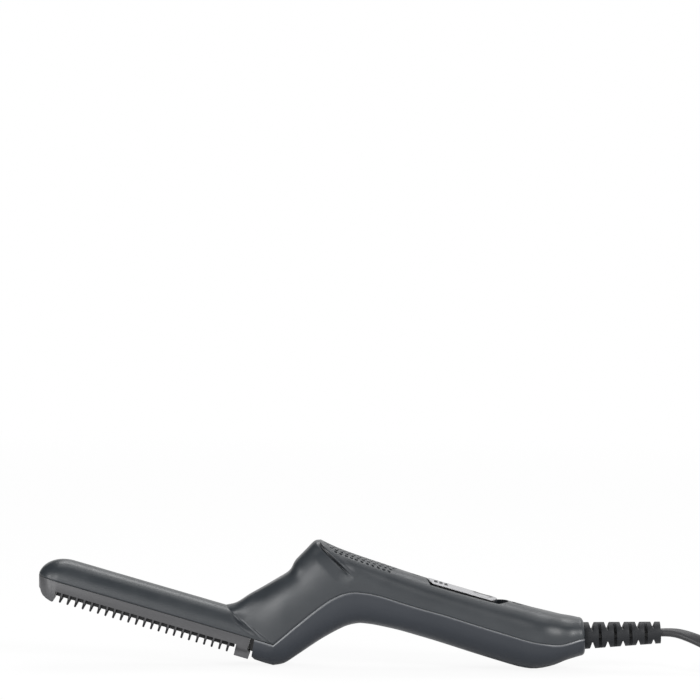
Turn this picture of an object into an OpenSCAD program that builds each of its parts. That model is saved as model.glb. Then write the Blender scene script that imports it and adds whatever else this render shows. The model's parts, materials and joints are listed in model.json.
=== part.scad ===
// Heated hair and beard comb with an angled handle, a slide switch and a mains lead.
// The comb frame has its origin at the barrel's tip, on the seam between cover and comb guard:
// +X runs along the barrel to the handle, +Z is up from the teeth and Y is across.
// laid() then tilts everything so that the comb rests on its nose and its belly.

/* [Barrel] */
// Length of the barrel, from its tip to the foot of the neck
barrel_l = 86.4; // [76:0.2:100]
// Width of the barrel and of the comb guard
barrel_w = 19; // [18:0.5:22]
// Height of the barrel cover above its seam
barrel_h = 10.2; // [9.6:0.2:12]
// Length of the round of the barrel's tip, seen from the side
tip_l = 14; // [10:1:18]
// Wall thickness of both casings
shell_t = 2; // [1.6:0.1:2.4]
// Gap along the seams between casings and guard
seam_gap = 0.15; // [0.1:0.05:0.3]

/* [Neck and handle] */
// How far the neck's ridge runs back from its foot to its peak
neck_run = 33.3; // [28:0.1:40]
// How far the neck's ridge rises from its foot to its peak
neck_rise = 41; // [36:0.5:46]
// How far the casings' nose runs back from the foot of the neck, at the seam
nose_l = 26; // [22:0.5:30]
// Depth of the nose below the seam
nose_h = 10.1; // [9:0.1:12]
// Length of the handle, from the peak of the neck to its tail end
handle_l = 126; // [116:1:140]
// How far the grip's top lies below the peak
peak_drop = 3.1; // [2:0.1:4.5]
// Height of the upper casing at the grip
cap_h = 12.7; // [12.2:0.1:14]
// Height of the whole handle at the grip
handle_h = 26.5; // [25:0.5:30]
// Width of the handle at the grip
handle_w = 26; // [24:0.5:30]
// Width of the handle at its belly, near the tail
belly_w = 29.6; // [28:0.2:34]
// Width of the tail end
tail_w = 23; // [20:0.5:26]
// Height of the tail end
tail_h = 17.2; // [16:0.2:20]
// Radius of the tail end's rim
tail_r = 2; // [1:0.25:2.5]
// Distance from the top of the tail end to the parting line and the strain relief's axis
relief_at = 8.4; // [8:0.1:9]
// Angle between the barrel and the strain relief
end_tilt = 18.7; // [12:0.1:24]

/* [Comb] */
// Number of teeth in each row
tooth_count = 23; // [15:1:25]
// Thickness of a tooth along the row
tooth_t = 1; // [0.8:0.1:1.4]
// How far a tooth reaches below the heated plate
tooth_l = 2.9; // [2.6:0.1:4.5]
// Width of a tooth across the comb
tooth_w = 2.2; // [1.6:0.1:2.6]
// Distance from the barrel's tip to the first tooth
tooth_start = 13.1; // [12:0.1:13.4]
// Height of the comb guard's side wall below the seam
guard_h = 4.5; // [4:0.1:5.5]
// How far the tip post and the rear block reach below the seam
guard_foot = 9.6; // [9.2:0.1:11]
// Thickness of the comb guard's side wall
guard_t = 1.7; // [1.4:0.1:2]
// Length of the guard's block at the neck end
block_l = 5.6; // [4.5:0.1:6.5]
// Gap between the guard's block and the nose of the casing
block_gap = 1.8; // [1:0.1:2.6]
// How far the heated plate stands below the guard's edge
plate_drop = 2; // [1:0.1:2]
// How far the guard's ribs reach below its edge
rib_l = 2.3; // [1.8:0.1:3]

/* [Heater] */
// Length of the heating element
heater_l = 52; // [40:1:54]
// Width of the heating element
heater_w = 10; // [8:0.5:10.5]
// Thickness of the heating element
heater_t = 2.8; // [2:0.1:3]
// Thickness of the insulating film on the element
film_t = 0.3; // [0.2:0.05:0.4]

/* [Switch] */
// Distance from the peak of the neck to the front of the switch window
window_at = 51.7; // [48:0.1:56]
// Length of the switch window
window_l = 39.3; // [38:0.1:44]
// Width of the switch window
window_w = 15.4; // [14:0.1:16]
// Length of the slider
slider_l = 30.8; // [28:0.1:32]
// Gap in front of the slider when it is on
slider_gap = 2.4; // [1:0.1:3]
// Side gap between the slider and its window
slider_side = 0.7; // [0.4:0.1:1]
// How far the slider stands above the handle
slider_proud = 0.3; // [0.1:0.1:0.8]
// Travel of the slider from on to off
switch_travel = 5; // [3:0.5:5.5]

/* [Circuit board] */
// Length of the circuit board
board_l = 58; // [54:1:60]
// Width of the circuit board
board_w = 18; // [16:0.5:19]
// Thickness of the circuit board
board_t = 1.6; // [1.2:0.1:2]

/* [Lead] */
// Length of the strain relief outside the casing
relief_l = 35.2; // [30:0.2:44]
// Radius of the strain relief at the casing
relief_r1 = 6.2; // [5.6:0.1:7]
// Radius of the strain relief at its free end
relief_r2 = 5; // [4.6:0.1:5.4]
// Number of rings on the strain relief
relief_rings = 10; // [6:1:12]
// Width of the slot between two rings
relief_slot = 1.4; // [1:0.1:1.6]
// Radius of the strain relief's neck in the tail end
neck_r = 4.6; // [4.2:0.1:5]
// Thickness of the flat lead
lead_t = 3.4; // [3:0.1:3.8]
// Width of the flat lead
lead_w = 5.4; // [5:0.1:6]

/* [Plug] */
// Length of the plug's body
plug_l = 36; // [32:0.5:40]
// Width of the plug's body
plug_w = 35.3; // [33:0.1:36]
// Thickness of the plug's body
plug_t = 13.7; // [12:0.1:15]
// Radius of a plug pin's bare tip
pin_r = 2; // [1.9:0.05:2.4]
// Length of a plug pin
pin_l = 19; // [17:0.5:20]
// Length of a pin's sleeve
sleeve_l = 10; // [8:0.5:11]
// Distance between the plug's pins
pin_gap = 19; // [17:0.5:20]

/* [Hidden] */
$fn = 48;
e = 0.01;
// Clearance between pieces that are seated on one another
fit = 0.15;
shell_color = [0.29, 0.31, 0.33];
guard_color = [0.42, 0.42, 0.44];

// ---------- the handle's sections ----------
// A section is [top x, top z, parting x, parting z, bottom x, bottom z, half width, squareness].
peak_x = barrel_l + neck_run;
peak_z = barrel_h + neck_rise;
grip_z = peak_z - peak_drop;
part_z = grip_z - cap_h;
base_z = grip_z - handle_h;
nose_x = barrel_l + nose_l;
bend_part_x = peak_x + 23.9;
bend_base_x = peak_x + 30;
barrel_r = barrel_w/2;
barrel_square = 2.3;
neck_square = 3.2;
grip_square = 3;
tail_square = 2.4;

// Rounds of the barrel's tip, an ellipse from the side and a half circle from above.
function tip_row(a, inset) = let(
    x = tip_l - (tip_l - inset)*cos(a),
    r = barrel_r - inset,
    w = x - inset < r ? sqrt(r*r - pow(r - (x - inset), 2)) : r)
    [x, (barrel_h - inset)*sin(a), x, 0, x, 0, w, barrel_square];

function tip_rows(inset) = [for (a = [10:16:90]) tip_row(a, inset)];

barrel_rows = [
    [tip_l + 14, barrel_h, tip_l + 14, 0, 0, 0, barrel_r, barrel_square],
    [barrel_l*0.6, barrel_h, barrel_l*0.6, 0, 0, 0, barrel_r, barrel_square],
    [barrel_l - 17, barrel_h, barrel_l - 10, 0, 0, 0, barrel_r, barrel_square],
    [barrel_l - 11, barrel_h, barrel_l + 3, 0, 0, 0, barrel_r + 0.1, barrel_square],
    [barrel_l - 4.5, barrel_h, nose_x - 8, 0, 0, 0, barrel_r + 0.4, barrel_square],
    [barrel_l - 0.5, barrel_h, nose_x - 0.5, 0, 0, 0, barrel_r + 0.8, barrel_square]];

// Shares of the neck's run and rise at the ridge, the parting line and the underside.
neck_curve = [
    [0, 0, 0, 0, 0, 0],
    [0.135, 0.061, 0.113, 0.156, 0.136, 0.085],
    [0.273, 0.187, 0.231, 0.320, 0.267, 0.255],
    [0.417, 0.307, 0.347, 0.475, 0.394, 0.431],
    [0.562, 0.432, 0.474, 0.638, 0.519, 0.598],
    [0.706, 0.566, 0.606, 0.787, 0.641, 0.742],
    [0.745, 0.686, 0.686, 0.858, 0.713, 0.820],
    [0.778, 0.746, 0.766, 0.914, 0.788, 0.892],
    [0.844, 0.846, 0.850, 0.958, 0.870, 0.948],
    [0.925, 0.966, 0.933, 0.988, 0.942, 0.984],
    [1, 1, 1, 1, 1, 1]];
neck_rows = [for (i = [0:len(neck_curve) - 1]) let(c = neck_curve[i], f = i/(len(neck_curve) - 1)) [
    barrel_l + neck_run*c[0], barrel_h + neck_rise*c[1],
    nose_x + (bend_part_x - nose_x)*c[2], (part_z - 0.8)*c[3],
    nose_x + 2.7 + (bend_base_x - nose_x - 2.7)*c[4], -nose_h + (base_z - 1.1 + nose_h)*c[5],
    barrel_r + 1 + (handle_w/2 - 0.5 - barrel_r - 1)*f, neck_square]];

// Shares of the handle's length, and heights above the grip's top, parting and base lines.
grip_curve = [
    [0.065, 1.8, 0.228, 0.0, 0.271, -0.5, 3.0],
    [0.148, 1.0, 0.279, 0.3, 0.315, 0.0, 3.0],
    [0.244, 0.6, 0.339, 0.1, 0.367, 0.3, 2.7],
    [0.355, 0.1, 0.418, 0.0, 0.434, 0.3, 2.5],
    [0.482, -0.1, 0.513, 0.2, 0.521, 0.2, 2.4],
    [0.625, 0.0, 0.637, -0.1, 0.640, -0.2, 2.4],
    [0.736, 0.5, 0.744, -0.2, 0.748, -0.4, 2.4],
    [0.815, 0.7, 0.827, -0.2, 0.831, -0.3, 2.4],
    [0.871, 1.0, 0.883, 0.6, 0.887, 1.1, 2.5],
    [0.918, 1.3, 0.934, 1.8, 0.942, 4.7, 2.5],
    [0.958, 1.9, 0.975, 4.5, 0.982, 8.6, 2.4]];
// Half widths along the handle: grip, belly and tail.
width_at = [[0, handle_w/2 - 0.5], [0.25, handle_w/2], [0.5, handle_w/2 + 0.3],
    [0.871, belly_w/2], [0.958, (belly_w + tail_w)/4], [1, tail_w/2]];
grip_rows = [for (c = grip_curve) [
    peak_x + handle_l*c[0], grip_z + c[1], peak_x + handle_l*c[2], part_z + c[3],
    peak_x + handle_l*c[4], base_z + c[5], lookup(c[0], width_at), c[6]]];

// The tail end is flat and square to the strain relief, with a rounded rim.
tail_top = [peak_x + handle_l, grip_z + 2.8];
tail_down = [sin(end_tilt), -cos(end_tilt)];
tail_out = [cos(end_tilt), sin(end_tilt)];
function tail_row(a, inset) = let(
    back = tail_r*(1 - sin(a)) + inset,
    in = tail_r*(1 - cos(a)) + inset,
    t = tail_top + tail_down*in - tail_out*back,
    p = tail_top + tail_down*relief_at - tail_out*back,
    b = tail_top + tail_down*(tail_h - in) - tail_out*back)
    [t[0], t[1], p[0], p[1], b[0], b[1], tail_w/2 - in, tail_square];
function tail_rows(inset) = [for (a = [0:30:90]) tail_row(a, inset)];

// A smooth curve through a list of points or sections.
function blend(p, i, f) = let(
    a = p[max(i - 1, 0)], b = p[i], c = p[i + 1], d = p[min(i + 2, len(p) - 1)])
    b + 0.5*f*(c - a + f*(2*a - 5*b + 4*c - d + f*(3*(b - c) + d - a)));
function smooth(p, n) = [for (i = [0:len(p) - 2]) for (k = [0:n - 1]) blend(p, i, k/n), p[len(p) - 1]];

neck_smooth = smooth(neck_rows, 2);
grip_smooth = smooth(concat([neck_rows[len(neck_rows) - 1]], grip_rows, [tail_row(0, 0)]), 2);
grip_inner = [for (i = [1:len(grip_smooth) - 2]) grip_smooth[i]];
body_rows = concat(barrel_rows, neck_smooth, grip_inner);
// The lower casing begins at the nose, square to the barrel.
nose_front = nose_x - 9;
nose_rows = [
    [0, 0, nose_front, 0, nose_front + 1, -nose_h + 1.2, barrel_r + 0.4, grip_square],
    [0, 0, nose_front + 1.5, 0, nose_front + 2.6, -nose_h + 0.3, barrel_r + 0.5, grip_square],
    [0, 0, nose_x - 3, 0, nose_x - 1.2, -nose_h + 0.1, barrel_r + 0.7, grip_square]];
base_rows = concat(nose_rows, neck_smooth, grip_inner);

function unit(v) = v/norm(v);
// Moves a section's edge at column k in from its curve by t, square to the curve.
function edge_in(rows, i, k, t) = let(
    here = [rows[i][k], rows[i][k + 1]],
    along = unit([rows[min(i + 1, len(rows) - 1)][k], rows[min(i + 1, len(rows) - 1)][k + 1]]
        - [rows[max(i - 1, 0)][k], rows[max(i - 1, 0)][k + 1]]),
    in = unit([rows[i][2], rows[i][3]] - here))
    here + in*t/max(0.45, abs(cross(along, in)));
function inner_rows(rows, k, t) = [for (i = [0:len(rows) - 1]) let(
    r = rows[i], p = edge_in(rows, i, k, t))
    [for (c = [0:7]) c == k ? p[0] : c == k + 1 ? p[1] : c == 6 ? r[6] - t : r[c]]];

// The arc of points of a section from one side to the other over its edge at column k.
arc_steps = 14;
function arc(r, k, lift) = [for (j = [0:arc_steps]) let(
    a = 180*j/arc_steps,
    up = pow(sin(a), 2/r[7]),
    side = r[6]*sign(cos(a))*pow(abs(cos(a)), 2/r[7]),
    p = [r[2], r[3]] + lift)
    [p[0] + (r[k] - r[2])*up, side, p[1] + (r[k + 1] - r[3])*up]];

// A hollow half casing: outer and inner arcs joined along their rims, and closed at both ends.
module half_shell(outer, inner, k, lift) {
    n = arc_steps + 1;
    m = len(outer);
    points = concat([for (r = outer) each arc(r, k, lift)], [for (r = inner) each arc(r, k, lift)]);
    function o(i, j) = i*n + j;
    function q(i, j) = (m + i)*n + j;
    skin = [for (i = [0:m - 2]) for (j = [0:n - 2]) each [
        [o(i, j), o(i, j + 1), o(i + 1, j + 1)], [o(i, j), o(i + 1, j + 1), o(i + 1, j)],
        [q(i, j), q(i + 1, j + 1), q(i, j + 1)], [q(i, j), q(i + 1, j), q(i + 1, j + 1)]]];
    rims = [for (i = [0:m - 2]) each [
        [o(i, 0), o(i + 1, 0), q(i + 1, 0)], [o(i, 0), q(i + 1, 0), q(i, 0)],
        [o(i, n - 1), q(i + 1, n - 1), o(i + 1, n - 1)], [o(i, n - 1), q(i, n - 1), q(i + 1, n - 1)]]];
    ends = [
        [for (j = [n - 1:-1:0]) o(0, j)], [for (j = [0:n - 1]) o(m - 1, j)],
        [for (j = [0:n - 1]) q(0, j)], [for (j = [n - 1:-1:0]) q(m - 1, j)],
        [o(0, 0), q(0, 0), q(0, n - 1)], [o(0, 0), q(0, n - 1), o(0, n - 1)],
        [o(m - 1, 0), q(m - 1, n - 1), q(m - 1, 0)], [o(m - 1, 0), o(m - 1, n - 1), q(m - 1, n - 1)]];
    all_faces = concat(skin, rims, ends);
    // The arc over the top and the arc under the base run opposite ways round.
    polyhedron(points, k == 0 ? [for (f = all_faces) [for (j = [len(f) - 1:-1:0]) f[j]]] : all_faces);
}

upper_outer = concat(tip_rows(0), body_rows, tail_rows(0));
upper_inner = concat(tip_rows(shell_t), inner_rows(body_rows, 0, shell_t), tail_rows(shell_t));
lower_outer = concat(base_rows, tail_rows(0));
// The cavity begins a wall's thickness behind the nose's front.
function wall_back(i) = shell_t*max(0, 1 - 0.3*i - (i > 1 ? 1 : 0));
base_in = [for (i = [0:len(base_rows) - 1]) let(r = base_rows[i], back = wall_back(i))
    [r[0], r[1], r[2] + back, r[3], r[4] + back, r[5], r[6], r[7]]];
lower_inner = concat(inner_rows(base_in, 4, shell_t), tail_rows(shell_t));

// ---------- how the comb lies ----------
nose_rest = [nose_x + 2.7, -nose_h];
belly_rest = [peak_x + handle_l*0.872, base_z];
rest_tilt = atan2(belly_rest[1] - nose_rest[1], belly_rest[0] - nose_rest[0]);
relief_base = tail_top + tail_down*relief_at;
relief_end = relief_base + tail_out*relief_l;
function lie_x(p) = p[0]*cos(rest_tilt) + p[1]*sin(rest_tilt);
function lie_z(p) = -p[0]*sin(rest_tilt) + p[1]*cos(rest_tilt);
end_x = lie_x(relief_end) + relief_r2*sin(end_tilt - rest_tilt);
shift_x = -end_x/2;
shift_z = -lie_z(nose_rest) + seam_gap*cos(rest_tilt);
module laid() translate([shift_x, 0, shift_z]) rotate([0, rest_tilt, 0]) children();

module at_tail(back = 0) {
    translate([relief_base[0] - tail_out[0]*back, 0, relief_base[1] - tail_out[1]*back])
        rotate([0, 90 - end_tilt, 0]) children();
}

// A flat profile in X and Z, w thick across the comb and centred on y.
module across(w, y = 0) translate([0, y + w/2, 0]) rotate([90, 0, 0]) linear_extrude(w) children();
// A block between two corners.
module block(a, b) translate(a) cube(b - a);
// An upright cylinder between two heights.
module post(x, y, z0, z1, r) translate([x, y, z0]) cylinder(h = z1 - z0, r = r);

// ---------- switch places ----------
window_x = peak_x + window_at;
slider_x = window_x + slider_gap;
slider_top = grip_z + slider_proud;
slider_h = 6;
slider_base = slider_top - slider_h;
slider_w = window_w - 2*slider_side;
crown_r = 22;
guide_t = 1.2;
guide_top = slider_base - 0.2;
lever_x = slider_x + slider_l/2;
lever_l = 4;
lever_w = 2;
switch_l = 20;
switch_w = 8;
switch_h = 7;
switch_end = lever_x + switch_l/2 + switch_travel/2;
switch_top = guide_top - guide_t - 0.2;
board_top = switch_top - switch_h - 0.05;
board_z = board_top - board_t;
board_x = window_x - 15;

// ---------- fasteners ----------
front_screw_x = board_x - 6;
rear_screw_x = board_x + board_l + 7;
screw_xs = [front_screw_x, rear_screw_x];
screw_r = 1.25;
screw_head_r = 2.4;
screw_head_h = 1.8;
screw_l = 12;
boss_r = 3.2;
boss_top = part_z - 0.4;
screw_seat = base_z + 5;
board_post_r = 2.2;
board_screw_r = 1;
board_screw_xs = [board_x + 4, board_x + board_l - 4];

module upper_shell() color(shell_color) laid() difference() {
    union() {
        half_shell(upper_outer, upper_inner, 0, [0, 0]);
        for (x = screw_xs) post(x, 0, boss_top + 0.3, grip_z - shell_t/2, boss_r);
    }
    block([window_x, -window_w/2, grip_z - 6], [window_x + window_l, window_w/2, grip_z + 4]);
    for (x = screw_xs) post(x, 0, boss_top, screw_seat + screw_l + 1, screw_r + 0.05);
    tail_hole();
}

// The hole for the strain relief's neck, half in each casing.
module tail_hole() at_tail(shell_t + 4) cylinder(h = shell_t + 8, r = neck_r + fit);

module lower_shell() color(shell_color) laid() difference() {
    union() {
        half_shell(lower_outer, lower_inner, 4, [0, -seam_gap]);
        guard_key();
        for (x = screw_xs) post(x, 0, base_z + shell_t*0.3, boss_top, boss_r);
        for (x = board_screw_xs) post(x, 0, base_z + shell_t*0.3, board_z - 0.05, board_post_r);
    }
    for (x = screw_xs) {
        post(x, 0, base_z - 3, screw_seat, screw_head_r + 0.2);
        post(x, 0, base_z, boss_top + 1, screw_r + 0.2);
    }
    for (x = board_screw_xs) post(x, 0, board_z - 6, board_z + 1, board_screw_r + 0.05);
    tail_hole();
}

// A tongue on the front of the nose that the comb guard's block comes up against.
module guard_key() across(2*(barrel_r - shell_t)) polygon([
    [guard_end + fit, -seam_gap - fit], [guard_end + fit, -guard_foot + 4.4],
    [nose_front - 0.05, -guard_foot + 3.4], [nose_front + 1.5, -guard_foot + 3.4],
    [nose_front + 1.5, -seam_gap - fit]]);

module case_screws() color("silver") laid() for (x = screw_xs) difference() {
    union() {
        post(x, 0, screw_seat - screw_head_h, screw_seat, screw_head_r);
        post(x, 0, screw_seat - e, screw_seat + screw_l, screw_r);
    }
    for (a = [0, 90]) translate([x, 0, screw_seat - screw_head_h]) rotate([0, 0, a])
        cube([2.6, 0.6, 1.6], center = true);
}

module board_screws() color("silver") laid() for (x = board_screw_xs) {
    post(x, 0, board_top + 0.05, board_top + 1.2, 1.9);
    post(x, 0, board_z - 5, board_top + 0.06, board_screw_r);
}

// ---------- comb guard ----------
guard_end = nose_front - block_gap;
guard_lean = 16;
lean_span = 6*guard_foot;
guard_in_r = barrel_r - guard_t;
ledge_r = guard_in_r - 0.9;
ledge_top = -guard_h + 1.2;
tongue_r = barrel_r - shell_t - fit;
tongue_t = 1.1;
tongue_h = 1.4;
block_x = guard_end - block_l;
plate_x = tooth_start - 2.6;
plate_end = block_x - 0.5;
tooth_pitch = (plate_end - 2.8 - tooth_start)/(tooth_count - 1);
// A flat-ended outline with a half-round tip at x0.
module stadium(x0, x1, r) {
    translate([x0 + r, 0]) circle(r = r);
    translate([x0 + r, -r]) square([x1 - x0 - r, 2*r]);
}
guard_profile = [
    [-3, -seam_gap], [-3, -guard_foot + 6], [2.6, -guard_foot + 3.6], [3.4, -guard_foot + 2.4],
    [4.6, -guard_foot + 1.4], [6.6, -guard_foot + 0.6], [plate_x - 1, -guard_foot],
    [plate_x - 0.4, -guard_foot + 0.4], [plate_x - 0.4, -guard_h], [block_x, -guard_h],
    [block_x + 0.3, -guard_foot], [guard_end + 1.4, -guard_foot], [guard_end + 1.6, -guard_foot + 2.9],
    [guard_end, -guard_foot + 4], [guard_end, -seam_gap]];

module comb_guard() color(guard_color) laid() {
    difference() {
        union() {
            intersection() {
                across(barrel_w + 2) polygon(guard_profile);
                rotate([0, -guard_lean, 0]) translate([0, 0, -lean_span])
                    linear_extrude(2*lean_span) stadium(0, barrel_l + lean_span, barrel_r);
            }
            translate([0, 0, -seam_gap - 0.3]) linear_extrude(tongue_h + seam_gap + 0.3)
                stadium(shell_t + 3*fit, guard_end - 8, tongue_r);
        }
        // The space for the plate's flange, the tongue's hollow and the slot for the comb.
        translate([0, 0, ledge_top]) linear_extrude(guard_h + tongue_h + 5)
            stadium(plate_x - 4 + guard_in_r - tongue_r + tongue_t, plate_end + 1, tongue_r - tongue_t);
        translate([0, 0, ledge_top]) linear_extrude(-ledge_top - seam_gap - 0.6)
            stadium(plate_x - 4, plate_end + 1, guard_in_r);
        block([plate_x - 0.15, -ledge_r, -guard_foot - 1], [plate_end + 0.15, ledge_r, 0]);
    }
    for (i = [0:tooth_count - 1], side = [-1, 1])
        translate([tooth_start + i*tooth_pitch - 0.4, 0, 0]) rotate([90, 0, 90]) linear_extrude(0.8)
            polygon([[side*(ledge_r + 0.05), -guard_h + 0.3], [side*(barrel_r - 0.6), -guard_h + 0.3],
                [side*(barrel_r - 0.6), -guard_h - 0.3], [side*(ledge_r + 0.9), -guard_h - rib_l],
                [side*(ledge_r + 0.05), -guard_h - rib_l]]);
}

// ---------- heated comb plate ----------
plate_r = ledge_r - fit;
plate_z = -guard_h - plate_drop;
flange_z = ledge_top + 0.1;
flange_top = flange_z + 1.2;
tip_z = plate_z - tooth_l;
row_y = plate_r - tooth_w/2;
// The side view of one row: rounded tips below, rounded roots between the teeth.
function tooth_arc(x) = concat(
    [[x - tooth_t*0.7, plate_z], [x - tooth_t/2, plate_z - 0.8]],
    [for (a = [180:30:360]) [x + tooth_t/2*cos(a), tip_z + tooth_t/2 + tooth_t/2*sin(a)]],
    [[x + tooth_t/2, plate_z - 0.8], [x + tooth_t*0.7, plate_z]]);
tooth_row = concat([[plate_x, plate_z]],
    [for (i = [0:tooth_count - 1]) each tooth_arc(tooth_start + i*tooth_pitch)],
    [[plate_end, plate_z], [plate_end, plate_z + 1], [plate_x, plate_z + 1]]);

module comb_plate() color([0.1, 0.1, 0.11]) laid() {
    block([plate_x, -plate_r, plate_z], [plate_end, plate_r, flange_z + 0.5]);
    translate([0, 0, flange_z]) linear_extrude(flange_top - flange_z)
        stadium(plate_x - 4 + fit, plate_end + 0.8, guard_in_r - fit);
    for (y = [-row_y, 0, row_y]) across(tooth_w, y) polygon(tooth_row);
}

// ---------- heater ----------
heater_x = plate_x + 10;
heater_z = flange_top + 0.05;
film_z = heater_z + heater_t + 0.05;
spring_z = film_z + film_t + 0.05;
spring_h = 1.5;
web_z = spring_z + spring_h + 0.05;
web_t = 1.2;
web_top = web_z + web_t;
holder_r = tongue_r - tongue_t - fit;
holder_x = plate_x + 4;
holder_end = heater_x + heater_l + 2;
leg_t = 0.8;

module ptc_heater() color([0.86, 0.82, 0.72]) laid()
    block([heater_x, -heater_w/2 + 0.3, heater_z],
        [heater_x + heater_l, heater_w/2 - 0.3, heater_z + heater_t]);

module heater_film() color([0.75, 0.45, 0.12]) laid()
    block([heater_x - 1, -heater_w/2 + 0.1, film_z],
        [heater_x + heater_l + 1, heater_w/2 - 0.1, film_z + film_t]);

// A leaf spring pressed into three flat waves between the film and the holder's web.
module heater_spring() color("silver") laid() {
    leaf = 0.3;
    waves = 3;
    step = (heater_l - 8)/waves;
    under = [for (i = [0:waves*8]) [heater_x + 4 + step*i/8, spring_z + (spring_h - leaf)*(1 - cos(45*i))/2]];
    over = [for (i = [waves*8:-1:0]) under[i] + [0, leaf]];
    across(heater_w*0.6) polygon(concat(under, over));
}

module heater_holder() color([0.2, 0.18, 0.16]) laid() difference() {
    union() {
        block([holder_x, -holder_r, flange_top + 0.05], [holder_end, holder_r, web_top]);
        for (x = [heater_x + 6, heater_x + heater_l - 6])
            post(x, 0, web_top - e, barrel_h - shell_t - 0.25, 1.6);
    }
    block([holder_x - 1, -holder_r + leg_t, flange_top - 1], [holder_end + 1, holder_r - leg_t, web_z]);
}

fuse_r = 1.3;
module thermal_fuse() color([0.8, 0.8, 0.78]) laid() {
    translate([heater_x + heater_l/2 - 6, 0, web_top + fuse_r + 0.05]) rotate([0, 90, 0])
        cylinder(h = 12, r = fuse_r);
    for (x = [heater_x + heater_l/2 - 12, heater_x + heater_l/2 + 6 - e])
        translate([x, 0, web_top + fuse_r + 0.05]) rotate([0, 90, 0]) cylinder(h = 6 + e, r = 0.4);
}

sensor_x = heater_x + heater_l + 4;
sensor_z = flange_top + 1.15;
sensor_l = 2.2;
module thermistor() color([0.15, 0.2, 0.5]) laid() {
    translate([sensor_x, 0, sensor_z]) sphere(r = 1.1);
    translate([sensor_x, 0, sensor_z]) rotate([0, 90, 0]) cylinder(h = sensor_l, r = 0.9);
}

// A baffle across the barrel that keeps the heat out of the neck.
barrier_x = sensor_x + 5;
barrier_t = 1.6;
barrier_hole_z = 3.6;
module heat_barrier() color([0.75, 0.72, 0.62]) laid() {
    r = barrel_r - shell_t - 0.3;
    h = barrel_h - shell_t - 0.3;
    foot = tongue_h + 0.2;
    bend = 2/barrel_square;
    difference() {
        translate([barrier_x, 0, 0]) rotate([90, 0, 90]) linear_extrude(barrier_t) union() {
            polygon([for (a = [0:10:180])
                [r*sign(cos(a))*pow(abs(cos(a)), bend), foot + (h - foot)*pow(sin(a), bend)]]);
            translate([-holder_r, flange_top + 0.1]) square([2*holder_r, tongue_h + 0.3 - flange_top]);
        }
        for (y = [-wire_y, wire_y]) translate([barrier_x - 1, y, barrier_hole_z]) rotate([0, 90, 0])
            cylinder(h = barrier_t + 2, r = wire_r + 0.4);
        translate([barrier_x - 1, 0, barrier_hole_z]) rotate([0, 90, 0]) cylinder(h = barrier_t + 2, r = 2.2);
    }
}

// ---------- swept round and flat leads ----------
function rings(path, ry, rz, turn, sides) = [for (i = [0:len(path) - 1]) let(
    t = unit(path[min(i + 1, len(path) - 1)] - path[max(i - 1, 0)]),
    s = unit(cross([0, 0, 1], t)),
    u = cross(t, s),
    k = turn[0] + (turn[1] - turn[0])*i/(len(path) - 1))
    for (j = [0:sides - 1]) let(
        a = 360*(j + 0.5)/sides, y = ry*cos(a), z = rz*sin(a))
        path[i] + s*(y*cos(k) - z*sin(k)) + u*(y*sin(k) + z*cos(k))];
module tube(path, ry, rz, turn = [0, 0], sides = 8) {
    n = len(path);
    polyhedron(rings(path, ry, rz, turn, sides), concat(
        [[for (j = [0:sides - 1]) j], [for (j = [sides - 1:-1:0]) (n - 1)*sides + j]],
        [for (i = [0:n - 2], j = [0:sides - 1]) let(k = (j + 1)%sides) each [
            [i*sides + j, (i + 1)*sides + j, (i + 1)*sides + k],
            [i*sides + j, (i + 1)*sides + k, i*sides + k]]]));
}

wire_r = 0.8;
wire_y = 4.4;
// Wires from the heater up the neck, past the front screw's boss and down to the board.
function neck_path(y, turn_y, x0, z0) = smooth([
    [x0, y, z0], [barrier_x, y, barrier_hole_z], [barrel_l + neck_run*0.21, y, barrel_h - 4],
    [barrel_l + neck_run*0.54, (y + turn_y)/2, barrel_h + neck_rise*0.06],
    [barrel_l + neck_run*0.87, turn_y, barrel_h + neck_rise*0.366],
    [peak_x + neck_run*0.27, turn_y, part_z - 4], [board_x - 14, turn_y, board_top + 4.5],
    [board_x - 5, turn_y, board_top + 4.2], [board_x + 1.6, turn_y, board_top + 1.1]], 2);
module heater_wires() color([0.85, 0.85, 0.82]) laid()
    for (side = [-1, 1]) tube(
        neck_path(side*wire_y, side*boss_r*2, heater_x + heater_l + 0.4, heater_z + heater_t/2),
        wire_r, wire_r);
sensor_wire_r = 0.5;
module sensor_wires() color([0.15, 0.15, 0.17]) laid()
    for (side = [-1, 1]) tube(neck_path(side*0.8, side*(boss_r + 0.9), sensor_x + sensor_l + 0.55, sensor_z),
        sensor_wire_r, sensor_wire_r);

// ---------- handle ----------
module circuit_board() color([0.1, 0.35, 0.18]) laid() difference() {
    block([board_x, -board_w/2, board_z], [board_x + board_l, board_w/2, board_top]);
    for (x = board_screw_xs) post(x, 0, board_z - 1, board_top + 1, board_screw_r + 0.15);
}

module slide_switch() color([0.12, 0.12, 0.13]) laid() difference() {
    block([lever_x - switch_l/2 + switch_travel/2, -switch_w/2, board_top + 0.05],
        [switch_end, switch_w/2, switch_top]);
    block([lever_x - lever_l/2 - fit, -lever_w/2 - fit, switch_top - 3],
        [lever_x + lever_l/2 + switch_travel + fit, lever_w/2 + fit, switch_top + 1]);
}

module switch_lever() color([0.9, 0.9, 0.88]) laid()
    block([lever_x - lever_l/2, -lever_w/2, switch_top - 3 + fit],
        [lever_x + lever_l/2, lever_w/2, slider_base + 2.4]);

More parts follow.
